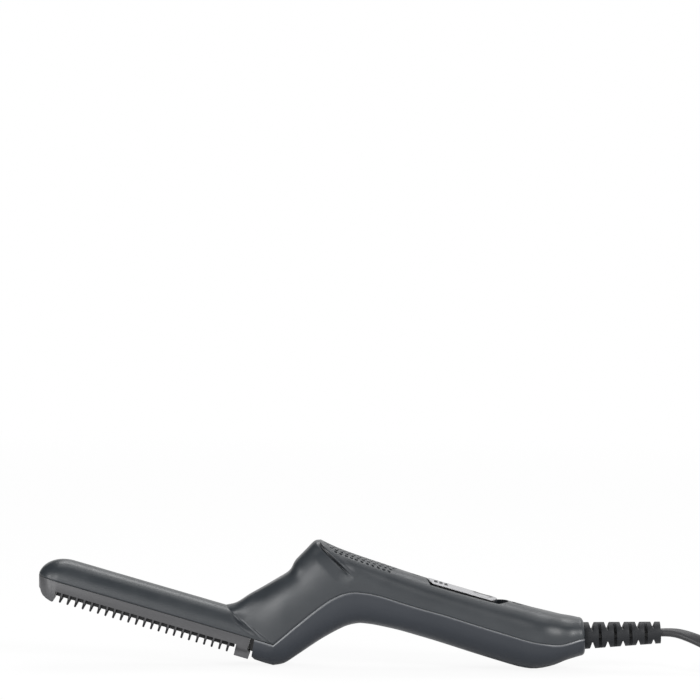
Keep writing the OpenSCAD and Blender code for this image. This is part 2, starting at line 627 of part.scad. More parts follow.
module power_slider() color([0.68, 0.68, 0.69]) laid() difference() {
    union() {
        intersection() {
            block([slider_x, -slider_w/2, slider_base], [slider_x + slider_l, slider_w/2, slider_top]);
            translate([slider_x - 1, 0, slider_top - crown_r]) rotate([0, 90, 0])
                cylinder(h = slider_l + 2, r = crown_r, $fn = 96);
        }
        block([slider_x - 1, -slider_w/2 - 1.2, slider_base],
            [slider_x + slider_l + 1, slider_w/2 + 1.2, slider_base + 0.8]);
    }
    // The pocket that the switch's lever drives.
    block([lever_x - lever_l/2 - fit, -lever_w/2 - fit, slider_base - 1],
        [lever_x + lever_l/2 + fit, lever_w/2 + fit, slider_base + 2.5]);
    // Three grip grooves and a round thumb scoop.
    for (i = [0:2]) block([slider_x + 2.6 + 2.4*i, -slider_w/2 + 1.2, slider_top - 0.7],
        [slider_x + 3.4 + 2.4*i, slider_w/2 - 1.2, slider_top + 1]);
    translate([slider_x + slider_l - 0.6, 0, slider_top + 26 - 1.1]) sphere(r = 26, $fn = 64);
}

guide_y = slider_w/2 + 2.1;
module slider_guide() color([0.08, 0.08, 0.09]) laid() difference() {
    block([window_x - 2, -guide_y, guide_top - guide_t], [window_x + window_l + 2, guide_y, guide_top]);
    block([lever_x - lever_l/2 - 0.4, -lever_w/2 - 0.3, guide_top - 3],
        [lever_x + lever_l/2 + switch_travel + 0.4, lever_w/2 + 0.3, guide_top + 1]);
}

module capacitor() color([0.75, 0.6, 0.15]) laid()
    block([board_x + 7, 1, board_top + 0.05], [board_x + 18, 8, board_top + 7]);

module triac() color([0.1, 0.1, 0.1]) laid() {
    block([switch_end + 0.6, 2.5, board_top + 0.05], [switch_end + 6, 6.4, board_top + 6.5]);
    for (y = [3.2, 4.45, 5.7]) post(switch_end + 3.3, y, board_z - 1, board_top + 0.1, 0.35);
}

module resistors() color([0.35, 0.6, 0.75]) laid() for (x = [8, 13]) {
    translate([board_x + x, -7.6, board_top + 1.25]) rotate([-90, 0, 0]) cylinder(h = 5.6, r = 1.2);
}

module control_chip() color([0.1, 0.1, 0.1]) laid() {
    block([switch_end + 0.8, -6, board_top + 0.25], [switch_end + 5.6, -3.2, board_top + 1.8]);
    for (i = [0:3], y = [-6.6, -3.3]) block([switch_end + 1.1 + 1.15*i, y, board_top + 0.05],
        [switch_end + 1.6 + 1.15*i, y + 0.7, board_top + 0.5]);
}

// ---------- lead and strain relief ----------
collar_r = 6.2;
collar_t = 1.8;
// The sheath ends about half way between the collar and the rear screw's boss.
sheath_l = (relief_base[0] - rear_screw_x - boss_r - shell_t - collar_t)*0.45;
module flat_lead(l, more = 0) linear_extrude(l) union() {
    square([lead_t + 2*more, lead_w - lead_t], center = true);
    for (y = [-1, 1]) translate([0, y*(lead_w - lead_t)/2]) circle(r = lead_t/2 + more);
}

module strain_relief() color([0.16, 0.17, 0.18]) laid() {
    step = relief_l/relief_rings;
    web = 2.2;
    difference() {
        union() {
            at_tail() translate([0, 0, 0.1]) cylinder(h = relief_l - 0.1, r1 = relief_r1, r2 = relief_r2);
            at_tail(shell_t + 0.2) cylinder(h = shell_t + 0.4, r = neck_r);
            at_tail(shell_t + fit + collar_t) cylinder(h = collar_t, r1 = collar_r, r2 = neck_r + 0.4);
        }
        at_tail(shell_t + collar_t + 2) flat_lead(relief_l + shell_t + collar_t + 4, 0.05);
        // V notches above and below, and straight slots at both sides between them.
        for (i = [1:2:relief_rings - 1], side = [-1, 1]) at_tail(-i*step - 0.25) rotate([90, 0, 0])
            translate([0, 0, -10]) linear_extrude(20) polygon([
                [side*(web + 0.4), -0.3], [side*(relief_r1 + 1), -relief_slot*1.15],
                [side*(relief_r1 + 1), relief_slot*1.15], [side*(web + 0.4), 0.3]]);
        for (i = [2:2:relief_rings - 1], side = [-1, 1]) at_tail(-i*step - 0.25)
            translate([0, side*(web + 5), 0]) cube([20, 10, relief_slot], center = true);
    }
}

module lead_sheath() color([0.1, 0.1, 0.11]) laid()
    at_tail(shell_t + collar_t + sheath_l) flat_lead(relief_l + shell_t + collar_t + sheath_l - 0.05);

sheath_end = relief_base - tail_out*(shell_t + collar_t + sheath_l + 0.3);
mains_y = board_w/2 - 1.3;
module mains_wires() laid() for (side = [-1, 1]) color(side > 0 ? [0.1, 0.25, 0.6] : [0.4, 0.22, 0.1])
    tube(smooth([
        [sheath_end[0], side*1.2, sheath_end[1]],
        [sheath_end[0]*0.65 + rear_screw_x*0.35, side*2.6, sheath_end[1] - 1.4],
        [rear_screw_x, side*5.4, board_top + 2.6],
        [board_x + board_l - 1, side*mains_y, board_top + 2.2],
        [board_x + board_l - 4, side*mains_y, board_top + 1]], 2), wire_r, wire_r);

// ---------- free lead, hank and plug, in the frame of the surface that the comb lies on ----------
cord_color = [0.07, 0.07, 0.08];
exit_x = lie_x(relief_end) + shift_x;
exit_z = lie_z(relief_end) + shift_z;
cord_route = [for (d = [[0, 0, 0], [4, 0, 0.1], [8, -0.4, -0.2], [12, -1.7, -1.1],
    [16, -3.8, -2.3], [20, -6.4, -3.8], [24, -9.4, -5.5]]) [exit_x, 0, exit_z] + d];
hank_x = exit_x + 43.9;
hank_run = 92;
hank_in = 10.9;
hank_out = 21.3;
hank_z = 0.8;
hank_h = 10.8;
plug_x = hank_x + hank_run + 39;
plug_y = -4;
tail_route = [for (d = [[-24.1, -11, 3.6], [-20, -9.4, 3.7], [-16, -7, 4.2], [-12, -4.5, 5], [-8, -2, 5.9],
    [-4, -0.4, 6.6], [0, 0, 6.85]]) [plug_x, plug_y, 0] + d];
nose_len = 9;
plug_z = plug_t/2;

module mains_cord() color(cord_color) tube(cord_route, lead_w/2, lead_t/2, [0, 70]);
module cord_tail() color(cord_color) tube(tail_route, lead_w/2, lead_t/2, [90, 0]);

module racetrack(r) {
    for (x = [hank_x, hank_x + hank_run]) translate([x, 0]) circle(r = r);
    translate([hank_x, -r]) square([hank_run, 2*r]);
}
module cord_hank() color(cord_color) translate([0, 0, hank_z]) linear_extrude(hank_h) difference() {
    racetrack(hank_out);
    racetrack(hank_in);
}

module cord_tie() color([0.2, 0.2, 0.2]) {
    x0 = hank_x + hank_run/2 - 4;
    difference() {
        block([x0, -hank_out - 0.7, 0.05], [x0 + 8, hank_out + 0.7, hank_z + hank_h + 0.75]);
        block([x0 - 1, -hank_out - 0.1, hank_z - 0.1], [x0 + 9, hank_out + 0.1, hank_z + hank_h + 0.1]);
    }
}

// The plug is a flat block with cut corners, narrowing towards its lead.
module plug_outline() polygon([
    [nose_len, -plug_w*0.22], [nose_len + 8, -plug_w*0.32], [nose_len + plug_l*0.62, -plug_w/2],
    [nose_len + plug_l - 2, -plug_w/2], [nose_len + plug_l, -plug_w/2 + 2],
    [nose_len + plug_l, plug_w/2 - 2], [nose_len + plug_l - 2, plug_w/2],
    [nose_len + plug_l*0.62, plug_w/2], [nose_len + 8, plug_w*0.32], [nose_len, plug_w*0.22]]);
module plug_body() color(cord_color) translate([plug_x, plug_y, 0]) difference() {
    union() {
        intersection() {
            linear_extrude(plug_t) plug_outline();
            across(plug_w + 2) polygon([
                [nose_len, 1.8], [nose_len + 5, 0.6], [nose_len + plug_l*0.5, 0], [nose_len + plug_l, 0],
                [nose_len + plug_l, plug_t], [nose_len + plug_l*0.5, plug_t],
                [nose_len + 5, plug_t - 0.6], [nose_len, plug_t - 1.8]]);
        }
        translate([0.3, 0, plug_z]) rotate([0, 90, 0]) cylinder(h = nose_len, r1 = 3.6, r2 = 4.9);
    }
    for (y = [-1, 1]) translate([nose_len + plug_l - 6, y*pin_gap/2, plug_z]) rotate([0, 90, 0])
        cylinder(h = 8, r = pin_core_r);
}
pin_core_r = pin_r - 0.5;
module plug_pins() color("silver") for (y = [-1, 1])
    translate([plug_x + nose_len + plug_l, plug_y + y*pin_gap/2, plug_z]) rotate([0, 90, 0]) {
        translate([0, 0, -6]) cylinder(h = sleeve_l + 6 + e, r = pin_core_r);
        translate([0, 0, sleeve_l]) cylinder(h = pin_l - sleeve_l - 0.8, r = pin_r);
        translate([0, 0, pin_l - 0.8 - e]) cylinder(h = 0.8, r1 = pin_r, r2 = pin_r - 0.8);
    }
module pin_sleeves() color(cord_color) for (y = [-1, 1])
    translate([plug_x + nose_len + plug_l + e, plug_y + y*pin_gap/2, plug_z]) rotate([0, 90, 0])
        difference() {
            cylinder(h = sleeve_l - 2*e, r = pin_r - 0.25);
            translate([0, 0, -1]) cylinder(h = sleeve_l + 2, r = pin_core_r);
        }

upper_shell();
lower_shell();
comb_guard();
comb_plate();
ptc_heater();
heater_film();
heater_spring();
heater_holder();
thermal_fuse();
thermistor();
heat_barrier();
heater_wires();
sensor_wires();
circuit_board();
board_screws();
slide_switch();
switch_lever();
power_slider();
slider_guide();
capacitor();
triac();
resistors();
control_chip();
case_screws();
mains_wires();
lead_sheath();
strain_relief();
mains_cord();
cord_hank();
cord_tie();
cord_tail();
plug_body();
pin_sleeves();
plug_pins();
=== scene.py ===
"""Heated hair and beard comb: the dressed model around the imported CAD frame."""
import json
import math

import bmesh
import bpy
import numpy as np
from mathutils import Matrix, Vector

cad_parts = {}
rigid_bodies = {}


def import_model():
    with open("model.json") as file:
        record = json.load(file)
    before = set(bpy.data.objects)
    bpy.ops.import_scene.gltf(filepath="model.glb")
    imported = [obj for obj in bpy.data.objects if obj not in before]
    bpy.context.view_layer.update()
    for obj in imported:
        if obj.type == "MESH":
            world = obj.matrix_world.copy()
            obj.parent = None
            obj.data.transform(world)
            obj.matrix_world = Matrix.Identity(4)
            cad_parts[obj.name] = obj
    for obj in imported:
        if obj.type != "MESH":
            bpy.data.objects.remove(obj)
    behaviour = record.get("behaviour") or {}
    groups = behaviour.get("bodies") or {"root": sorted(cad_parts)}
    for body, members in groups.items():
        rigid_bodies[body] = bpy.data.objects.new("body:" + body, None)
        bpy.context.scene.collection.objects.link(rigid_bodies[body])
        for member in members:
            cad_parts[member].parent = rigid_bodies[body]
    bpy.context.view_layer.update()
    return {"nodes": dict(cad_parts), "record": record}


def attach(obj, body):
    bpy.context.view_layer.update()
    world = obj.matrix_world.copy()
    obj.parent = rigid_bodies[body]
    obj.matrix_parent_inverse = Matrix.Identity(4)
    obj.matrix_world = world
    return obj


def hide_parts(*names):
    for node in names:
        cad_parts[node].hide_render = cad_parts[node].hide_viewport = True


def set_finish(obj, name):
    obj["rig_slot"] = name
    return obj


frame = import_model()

MM = 0.001
nodes = frame["nodes"]

# ---------- the comb's frame ----------
# The comb frame, in millimetres, has its origin at the barrel's tip on the seam. laid() tilts it
# so that the comb rests on its nose and its belly, as in the CAD source.
TILT = math.radians(15.4787)
SHIFT_X, SHIFT_Z = -143.135, 40.596


def laid(points):
    """Points of the comb frame in millimetres, as an array in the row frame in metres."""
    p = np.asarray(points, float)
    x, y, z = p[..., 0], p[..., 1], p[..., 2]
    return MM * np.stack([
        x * math.cos(TILT) + z * math.sin(TILT) + SHIFT_X, y,
        -x * math.sin(TILT) + z * math.cos(TILT) + SHIFT_Z], -1)


def comb_frame(points):
    """The other way: points of the row frame in metres, in the comb frame in millimetres."""
    p = np.asarray(points, float) / MM
    x, z = p[..., 0] - SHIFT_X, p[..., 2] - SHIFT_Z
    return np.stack([
        x * math.cos(TILT) - z * math.sin(TILT), p[..., 1],
        x * math.sin(TILT) + z * math.cos(TILT)], -1)


def add_object(name, data):
    """A new object of the scene with a mesh, a lamp or a camera."""
    obj = bpy.data.objects.new(name, data)
    bpy.context.scene.collection.objects.link(obj)
    return obj


# ---------- camera ----------
SENSOR = 36.0
VIEW_DISTANCE = 1.5
VIEW_WIDTH = 0.322
SIGHT_UP = math.radians(8)
# The object lies in the lower part of the picture, so the camera looks above it.
AIM_RISE = 0.1168
# Half the comb's height
COMB_MIDDLE = 0.029
ROLL = math.radians(-0.888)

cam_data = bpy.data.cameras.new("camera")
cam_data.sensor_width = SENSOR
cam_data.lens = SENSOR * VIEW_DISTANCE * math.cos(math.atan(AIM_RISE / VIEW_DISTANCE)) / VIEW_WIDTH
cam_data.clip_start, cam_data.clip_end = 0.05, 50
camera = add_object("camera", cam_data)
# The picture turns about its middle, so the camera moves aside for the object to keep its place.
middle = Vector((AIM_RISE * math.tan(ROLL), 0, COMB_MIDDLE))
camera.location = middle + VIEW_DISTANCE * Vector((0, -math.cos(SIGHT_UP), math.sin(SIGHT_UP)))
axis_up = SIGHT_UP - math.atan(AIM_RISE / VIEW_DISTANCE)
forward = Vector((0, math.cos(axis_up), -math.sin(axis_up)))
camera.rotation_mode = "QUATERNION"
camera.rotation_quaternion = (
    Matrix.Rotation(ROLL, 3, forward) @ forward.to_track_quat("-Z", "Y").to_matrix()).to_quaternion()
bpy.context.scene.camera = camera


# ---------- mesh helpers ----------
def piece(name, verts, faces, body, slot, smooth_angle):
    """A mesh piece from points in metres that rides on a CAD body."""
    mesh = bpy.data.meshes.new(name)
    mesh.from_pydata([tuple(v) for v in verts], [], [tuple(f) for f in faces])
    mesh.validate()
    return place(add_object(name, mesh), name, body, slot, smooth_angle)


def place(obj, name, body, slot, smooth_angle):
    """Names an object, smooths it up to an angle in degrees and ties it to a CAD body and a slot."""
    obj.name = obj.data.name = name
    obj.data.shade_smooth()
    obj.data.set_sharp_from_angle(angle=math.radians(smooth_angle))
    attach(obj, body)
    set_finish(obj, slot)
    return obj


def unit(v):
    """The vector at a length of 1."""
    return v / np.linalg.norm(v)


def spline(points, per):
    """A smooth curve through the points, with per steps between neighbours."""
    p = [np.asarray(q, float) for q in points]
    out = []
    for i in range(len(p) - 1):
        a, b, c, d = p[max(i - 1, 0)], p[i], p[i + 1], p[min(i + 2, len(p) - 1)]
        for f in (k / per for k in range(per)):
            out.append(b + 0.5 * f * (c - a + f * (2 * a - 5 * b + 4 * c - d + f * (3 * (b - c) + d - a))))
    return out + [p[-1]]


def even(points, step):
    """The same line with its points at even distances of about step."""
    p = np.asarray(points, float)
    run = np.concatenate([[0], np.cumsum(np.linalg.norm(np.diff(p, axis=0), axis=1))])
    at = np.linspace(0, run[-1], max(2, round(run[-1] / step) + 1))
    return np.stack([np.interp(at, run, p[:, k]) for k in range(p.shape[1])], 1)


# ---------- the lead ----------
LEAD_W, LEAD_T = 5.4, 3.4
# Places in millimetres in the row frame: where the lead leaves the strain relief, the middle of the
# hank's near bend and the plug's place on the floor. ROUTE and TAIL repeat the CAD source's points.
EXIT = np.array([142.854, 0, 17.669])
HANK_X = 186.754
HANK_RUN = 92
PLUG = np.array([HANK_X + HANK_RUN + 39, -4, 0])
ROUTE = EXIT + [[0, 0, 0], [4, 0, 0.1], [8, -0.4, -0.2], [12, -1.7, -1.1],
                [16, -3.8, -2.3], [20, -6.4, -3.8], [24, -9.4, -5.5]]
TAIL = PLUG + [[-24.1, -11, 3.6], [-20, -9.4, 3.7], [-16, -7, 4.2], [-12, -4.5, 5], [-8, -2, 5.9],
               [-4, -0.4, 6.6], [0, 0, 6.85]]
# Each turn's radius, from the outer to the inner turn of the top layer and back out in the lower one
RADII = [19.6, 16.1, 12.6, 12.6, 16.1, 19.6]
LAYER_TOP, LAYER_LOW = 8.9, 3.5
# Where the lead comes to the hank: radius, angle in degrees and height
ENTRY_R, ENTRY_TURN, ENTRY_Z = 22, 208, 12.0
LEAD_STEP = 2.5
BEND_POINTS, STRAIGHT_POINTS = 25, 12


def hank_line():
    """The turns of the hank, from the lead's own stretch to the tail at the plug."""
    far = HANK_X + HANK_RUN
    line = []

    def arc(x, r, a0, a1, z0, z1, r1=None):
        """Adds a turn round x between two angles, that may change its height and its radius."""
        for a in np.linspace(a0, a1, BEND_POINTS)[1:]:
            f = (a - a0) / (a1 - a0)
            f = f * f * (3 - 2 * f)
            radius = r + ((r1 or r) - r) * f
            line.append([x + radius * math.cos(math.radians(a)), radius * math.sin(math.radians(a)),
                         z0 + (z1 - z0) * f])

    arc(HANK_X, ENTRY_R, ENTRY_TURN, 270, ENTRY_Z, LAYER_TOP, RADII[0])
    for turn, r in enumerate(RADII):
        z = LAYER_TOP if turn < 3 else LAYER_LOW
        line += [[x, -r, z] for x in np.linspace(HANK_X, far, STRAIGHT_POINTS)[1:]]
        if turn == len(RADII) - 1:
            break
        inner = RADII[turn + 1]
        arc(far, r, -90, 90, z, z)
        for f in np.linspace(0, 1, STRAIGHT_POINTS)[1:]:
            share = f * f * (3 - 2 * f)
            line.append([far + (HANK_X - far) * f, r + (inner - r) * share, z])
        arc(HANK_X, inner, 90, 270, z, LAYER_LOW if turn == 2 else z)
    return line


def flat_ring(sides=20):
    """The lead's outline: two half rounds joined by flats, across and then up."""
    out = []
    half = (LEAD_W - LEAD_T) / 2
    for k in range(sides):
        a = 2 * math.pi * (k + 0.5) / sides
        out.append((LEAD_T / 2 * math.cos(a) + math.copysign(half, math.cos(a)),
                    LEAD_T / 2 * math.sin(a)))
    return out


def swept(path, twist, outline):
    """Points and faces of a closed tube along path, whose outline is turned by twist in degrees."""
    points = []
    for i, p in enumerate(path):
        t = unit(path[min(i + 1, len(path) - 1)] - path[max(i - 1, 0)])
        side = unit(np.cross([0, 0, 1], t))
        up = np.cross(t, side)
        c, s = math.cos(math.radians(twist[i])), math.sin(math.radians(twist[i]))
        points += [MM * (p + side * (y * c - z * s) + up * (y * s + z * c)) for y, z in outline]
    n = len(outline)
    last = len(points) - n
    faces = [(i + k, i + (k + 1) % n, i + n + (k + 1) % n, i + n + k)
             for i in range(0, last, n) for k in range(n)]
    return points, faces + [tuple(range(n))[::-1], tuple(range(last, last + n))]


lead_path = even(spline(np.vstack([ROUTE, hank_line(), TAIL]), 2), LEAD_STEP)
lead_run = np.concatenate([[0], np.cumsum(np.linalg.norm(np.diff(lead_path, axis=0), axis=1))])
# The lead lies flat at both ends and stands on edge in the hank: pairs of length and angle.
TWIST = [(0, 0), (4, 6), (22, 62), (34, 84), (50, 90),
         (lead_run[-1] - 46, 90), (lead_run[-1] - 30, 84), (lead_run[-1] - 8, 8), (lead_run[-1], 0)]
lead = piece("mains_lead", *swept(lead_path, np.interp(lead_run, *np.transpose(TWIST)), flat_ring()),
             "comb", "lead", 50)
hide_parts("mains_cord", "cord_hank", "cord_tail")

# ---------- the casings' sections ----------
# The outside follows the CAD source's sizes and sections, in millimetres in the comb frame, but the neck
# widens sooner here and is rounder at its foot. The wall is 1.8 mm here and 2 mm there. A section is
# [top x, top z, parting x, parting z, bottom x, bottom z, half width, squareness].
BARREL_L, BARREL_R, BARREL_H, TIP_L = 86.4, 9.5, 10.2, 14
NECK_RUN, NECK_RISE, NOSE_L, NOSE_H = 33.3, 41, 26, 10.1
HANDLE_L, HANDLE_W, BELLY_W = 126, 26, 29.6
TAIL_W, TAIL_H, TAIL_R, RELIEF_AT, END_TILT = 23, 17.2, 2, 8.4, math.radians(18.7)
SEAM = 0.15
WALL = 1.8
PEAK_X, PEAK_Z = BARREL_L + NECK_RUN, BARREL_H + NECK_RISE
GRIP_Z = PEAK_Z - 3.1
PART_Z, BASE_Z = GRIP_Z - 12.7, GRIP_Z - 26.5
NOSE_X = BARREL_L + NOSE_L
NOSE_FRONT = NOSE_X - 9
BEND_PART_X, BEND_BASE_X = PEAK_X + 23.9, PEAK_X + 30
TAIL_TOP = np.array([PEAK_X + HANDLE_L, GRIP_Z + 2.8])
TAIL_DOWN = np.array([math.sin(END_TILT), -math.cos(END_TILT)])
TAIL_OUT = np.array([math.cos(END_TILT), math.sin(END_TILT)])


def tip_row(a):
    """The barrel's section at an angle on the round of its tip."""
    x = TIP_L * (1 - math.cos(a))
    w = math.sqrt(BARREL_R ** 2 - (BARREL_R - x) ** 2) if x < BARREL_R else BARREL_R
    return [x, BARREL_H * math.sin(a), x, 0, x, 0, w, 2.3]


def tail_row(a):
    """The handle's section at an angle on the rounded edge of its end."""
    back, inset = TAIL_R * (1 - math.sin(a)), TAIL_R * (1 - math.cos(a))
    start = TAIL_TOP - TAIL_OUT * back
    t, p, b = (start + TAIL_DOWN * d for d in (inset, RELIEF_AT, TAIL_H - inset))
    return [*t, *p, *b, TAIL_W / 2 - inset, 2.4]


BARREL_ROWS = [
    [TIP_L, BARREL_H, TIP_L, 0, 0, 0, BARREL_R, 2.3],
    [BARREL_L * 0.6, BARREL_H, BARREL_L * 0.6, 0, 0, 0, BARREL_R, 2.3],
    [BARREL_L - 17, BARREL_H, BARREL_L - 10, 0, 0, 0, BARREL_R, 2.3],
    [BARREL_L - 11, BARREL_H, BARREL_L + 3, 0, 0, 0, BARREL_R + 0.1, 2.3],
    [BARREL_L - 4.5, BARREL_H, NOSE_X - 8, 0, 0, 0, BARREL_R + 0.4, 2.3],
    [BARREL_L - 0.5, BARREL_H, NOSE_X - 0.5, 0, 0, 0, BARREL_R + 0.8, 2.3]]
NECK_CURVE = [
    [0, 0, 0, 0, 0, 0],
    [0.135, 0.061, 0.113, 0.156, 0.136, 0.085],
    [0.273, 0.187, 0.231, 0.320, 0.267, 0.255],
    [0.417, 0.307, 0.347, 0.475, 0.394, 0.431],
    [0.562, 0.432, 0.474, 0.638, 0.519, 0.598],
    [0.706, 0.566, 0.606, 0.787, 0.641, 0.742],
    [0.745, 0.686, 0.686, 0.858, 0.713, 0.820],
    [0.778, 0.746, 0.766, 0.914, 0.788, 0.892],
    [0.844, 0.846, 0.850, 0.958, 0.870, 0.948],
    [0.925, 0.966, 0.933, 0.988, 0.942, 0.984],
    [1, 1, 1, 1, 1, 1]]
NECK_ROWS = [[
    BARREL_L + NECK_RUN * c[0], BARREL_H + NECK_RISE * c[1],
    NOSE_X + (BEND_PART_X - NOSE_X) * c[2], (PART_Z - 0.8) * c[3],
    NOSE_X + 2.7 + (BEND_BASE_X - NOSE_X - 2.7) * c[4], -NOSE_H + (BASE_Z - 1.1 + NOSE_H) * c[5],
    BARREL_R + 1 + (HANDLE_W / 2 - 1.5 - BARREL_R) * (1 - math.exp(-0.2 * i)) / (1 - math.exp(-2)),
    3.2 - 0.9 * math.exp(-i / 1.3)]
    for i, c in enumerate(NECK_CURVE)]
GRIP_CURVE = [
    [0.065, 1.8, 0.228, 0.0, 0.271, -0.5, 3.0],
    [0.148, 1.0, 0.279, 0.3, 0.315, 0.0, 3.0],
    [0.244, 0.6, 0.339, 0.1, 0.367, 0.3, 2.7],
    [0.355, 0.1, 0.418, 0.0, 0.434, 0.3, 2.5],
    [0.482, -0.1, 0.513, 0.2, 0.521, 0.2, 2.4],
    [0.625, 0.0, 0.637, -0.1, 0.640, -0.2, 2.4],
    [0.736, 0.5, 0.744, -0.2, 0.748, -0.4, 2.4],
    [0.815, 0.7, 0.827, -0.2, 0.831, -0.3, 2.4],
    [0.871, 1.0, 0.883, 0.6, 0.887, 1.1, 2.5],
    [0.918, 1.3, 0.934, 1.8, 0.942, 4.7, 2.5],
    [0.958, 1.9, 0.975, 4.5, 0.982, 8.6, 2.4]]
WIDTH_AT = np.array([[0, HANDLE_W / 2 - 0.5], [0.25, HANDLE_W / 2], [0.5, HANDLE_W / 2 + 0.3],
                     [0.871, BELLY_W / 2], [0.958, (BELLY_W + TAIL_W) / 4], [1, TAIL_W / 2]])
GRIP_ROWS = [[
    PEAK_X + HANDLE_L * c[0], GRIP_Z + c[1], PEAK_X + HANDLE_L * c[2], PART_Z + c[3],
    PEAK_X + HANDLE_L * c[4], BASE_Z + c[5], float(np.interp(c[0], *WIDTH_AT.T)), c[6]] for c in GRIP_CURVE]
NOSE_ROWS = [
    [0, 0, NOSE_FRONT, 0, NOSE_FRONT + 1, -NOSE_H + 1.2, BARREL_R + 0.4, 3],
    [0, 0, NOSE_FRONT + 1.5, 0, NOSE_FRONT + 2.6, -NOSE_H + 0.3, BARREL_R + 0.5, 3],
    [0, 0, NOSE_X - 3, 0, NOSE_X - 1.2, -NOSE_H + 0.1, BARREL_R + 0.7, 3]]


def between(rows, per):
    """Rows at even steps on straight lines between the given rows."""
    out = []
    for a, b in zip(rows, rows[1:]):
        out += [np.array(a) + (np.array(b) - np.array(a)) * k / per for k in range(per)]
    return out + [np.array(rows[-1], float)]


# Rows lie closer together where the dots are, just behind the peak.
GRIP_STEPS = [34, 44, 50, 36, 14, 14, 40, 10, 8, 8, 8, 8]
neck_part = spline(NECK_ROWS, 12)
grip_list = [NECK_ROWS[-1], *GRIP_ROWS, tail_row(0)]
grip_part = []
for i, per in enumerate(GRIP_STEPS):
    grip_part += spline(grip_list, per)[i * per:(i + 1) * per]
tail_part = [np.array(tail_row(math.radians(a))) for a in np.linspace(0, 90, 9)]
tip_part = [np.array(tip_row(math.radians(90 * (k / 34) ** 1.4))) for k in range(1, 34)]
top_rows = np.array(tip_part + between(BARREL_ROWS, 12) + neck_part + grip_part[1:] + tail_part)
base_rows = np.array(between(NOSE_ROWS + [NECK_ROWS[0]], 8)[:-1] + neck_part + grip_part[1::3] + tail_part)


def arcs(rows, k, columns, crown, lift=0.0):
    """Points round each section on the side whose X and Z stand at k and k + 1, at even arc lengths.
    crown draws the columns towards the ridge, and lift moves the whole section up."""
    a = np.linspace(0, math.pi, 721)
    share = np.linspace(-1, 1, columns + 1)
    share = (share * (1 - crown) + crown * share ** 3 + 1) / 2
    out = []
    for r in rows:
        up = np.sin(a) ** (2 / r[7])
        side = r[6] * np.sign(np.cos(a)) * np.abs(np.cos(a)) ** (2 / r[7])
        p = np.stack([r[2] + (r[k] - r[2]) * up, side, r[3] + lift + (r[k + 1] - r[3]) * up], 1)
        run = np.concatenate([[0], np.cumsum(np.linalg.norm(np.diff(p, axis=0), axis=1))])
        at = share * run[-1]
        out.append(np.stack([np.interp(at, run, p[:, c]) for c in range(3)], 1))
    return np.array(out)


def grid_normals(p, outward):
    """Unit normals of a grid of points, pointing away from the line through the points outward."""
    n = np.cross(np.gradient(p, axis=0), np.gradient(p, axis=1))
    n /= np.maximum(np.linalg.norm(n, axis=2, keepdims=True), 1e-9)
    away = np.sum(n * (p - outward), axis=2, keepdims=True)
    return n * np.sign(np.median(away))


def smoothstep(x, a, b):
    """0 below a, 1 above b and a smooth rise between them."""
    t = np.clip((x - a) / (b - a), 0, 1)
    return t * t * (3 - 2 * t)


def beside(p, start, end):
    """Where points lie along a line of the side view, as a share of it, and how far to its left."""
    start, end = np.array(start, float), np.array(end, float)
    length = np.linalg.norm(end - start)
    along = (end - start) / length
    rel = p[..., [0, 2]] - start
    return rel @ along / length, rel[..., 1] * along[0] - rel[..., 0] * along[1]


def crease(p, start, end, depth, reach, side, ends, lip=0.0, edge=0.45):
    """How far a surface is pressed in along a fold from start to end, in the side view. The side that
    side points to rises from the fold at an even slope over reach, and a lip may swell beyond it. The
    other side falls to the fold over edge."""
    run_out, lip_at, lip_w = 0.15, 1.6, 1.1
    t, d = beside(p, start, end)
    d = d * side
    share = smoothstep(t, ends[0], ends[1]) * (1 - smoothstep(t, ends[2], ends[3]))
    ramp = 1 - d / reach
    ramp = np.where(ramp > run_out, ramp, run_out * np.exp((ramp - run_out) / run_out))
    ramp = np.where(d < 0, 1, ramp)
    swell = lip * np.exp(-((d + lip_at) / lip_w) ** 2) * smoothstep(t, 0.5, 0.8)
    return share * (depth * smoothstep(d, -edge, 0.35) * ramp - swell)


def grid_faces(g):
    """Faces between the neighbours in a grid of point numbers."""
    return np.stack([g[:-1, :-1], g[:-1, 1:], g[1:, 1:], g[1:, :-1]], -1).reshape(-1, 4).tolist()


def band_faces(a, b):
    """Faces that join two lines of point numbers."""
    return np.stack([a[:-1], a[1:], b[1:], b[:-1]], -1).tolist()


def shell(rows, k, columns, crown, lift, shape):
    """A hollow half casing: outer and inner grids joined along their rims and closed at both ends."""
    skin = arcs(rows, k, columns, crown, lift)
    mid = np.stack([rows[:, 2], 0 * rows[:, 2], rows[:, 3]], 1)[:, None, :]
    normal = grid_normals(skin, mid)
    # At the rims the casing ends square to the parting, so the walls stay level there.
    inner = skin - normal * WALL
    inner[:, [0, -1], 2] = skin[:, [0, -1], 2]
    outer = skin - normal * shape(skin)[..., None]
    m, n = skin.shape[:2]
    verts = np.concatenate([outer.reshape(-1, 3), inner.reshape(-1, 3)])
    o = np.arange(m * n).reshape(m, n)
    q = o + m * n
    faces = grid_faces(o) + grid_faces(q)
    for j in (0, -1):
        faces += band_faces(o[:, j], q[:, j])
    for i in (0, -1):
        faces += [o[i].tolist(), q[i].tolist(), [o[i, 0], o[i, -1], q[i, -1], q[i, 0]]]
    return solid_from(laid(verts), [[int(v) for v in f] for f in faces])


def solid_from(points, faces):
    """A closed solid from points in metres, with its faces turned outwards."""
    mesh = bpy.data.meshes.new("cutter")
    mesh.from_pydata([tuple(p) for p in points], [], faces)
    work = bmesh.new()
    work.from_mesh(mesh)
    bmesh.ops.recalc_face_normals(work, faces=work.faces)
    work.to_mesh(mesh)
    work.free()
    return add_object("cutter", mesh)


def extruded(ends):
    """A solid of the comb frame between two outlines with as many points each."""
    n = len(ends[0])
    faces = [list(range(n))[::-1], list(range(n, 2 * n))]
    faces += [[i, (i + 1) % n, (i + 1) % n + n, i + n] for i in range(n)]
    return solid_from(laid([point for end in ends for point in end]), faces)


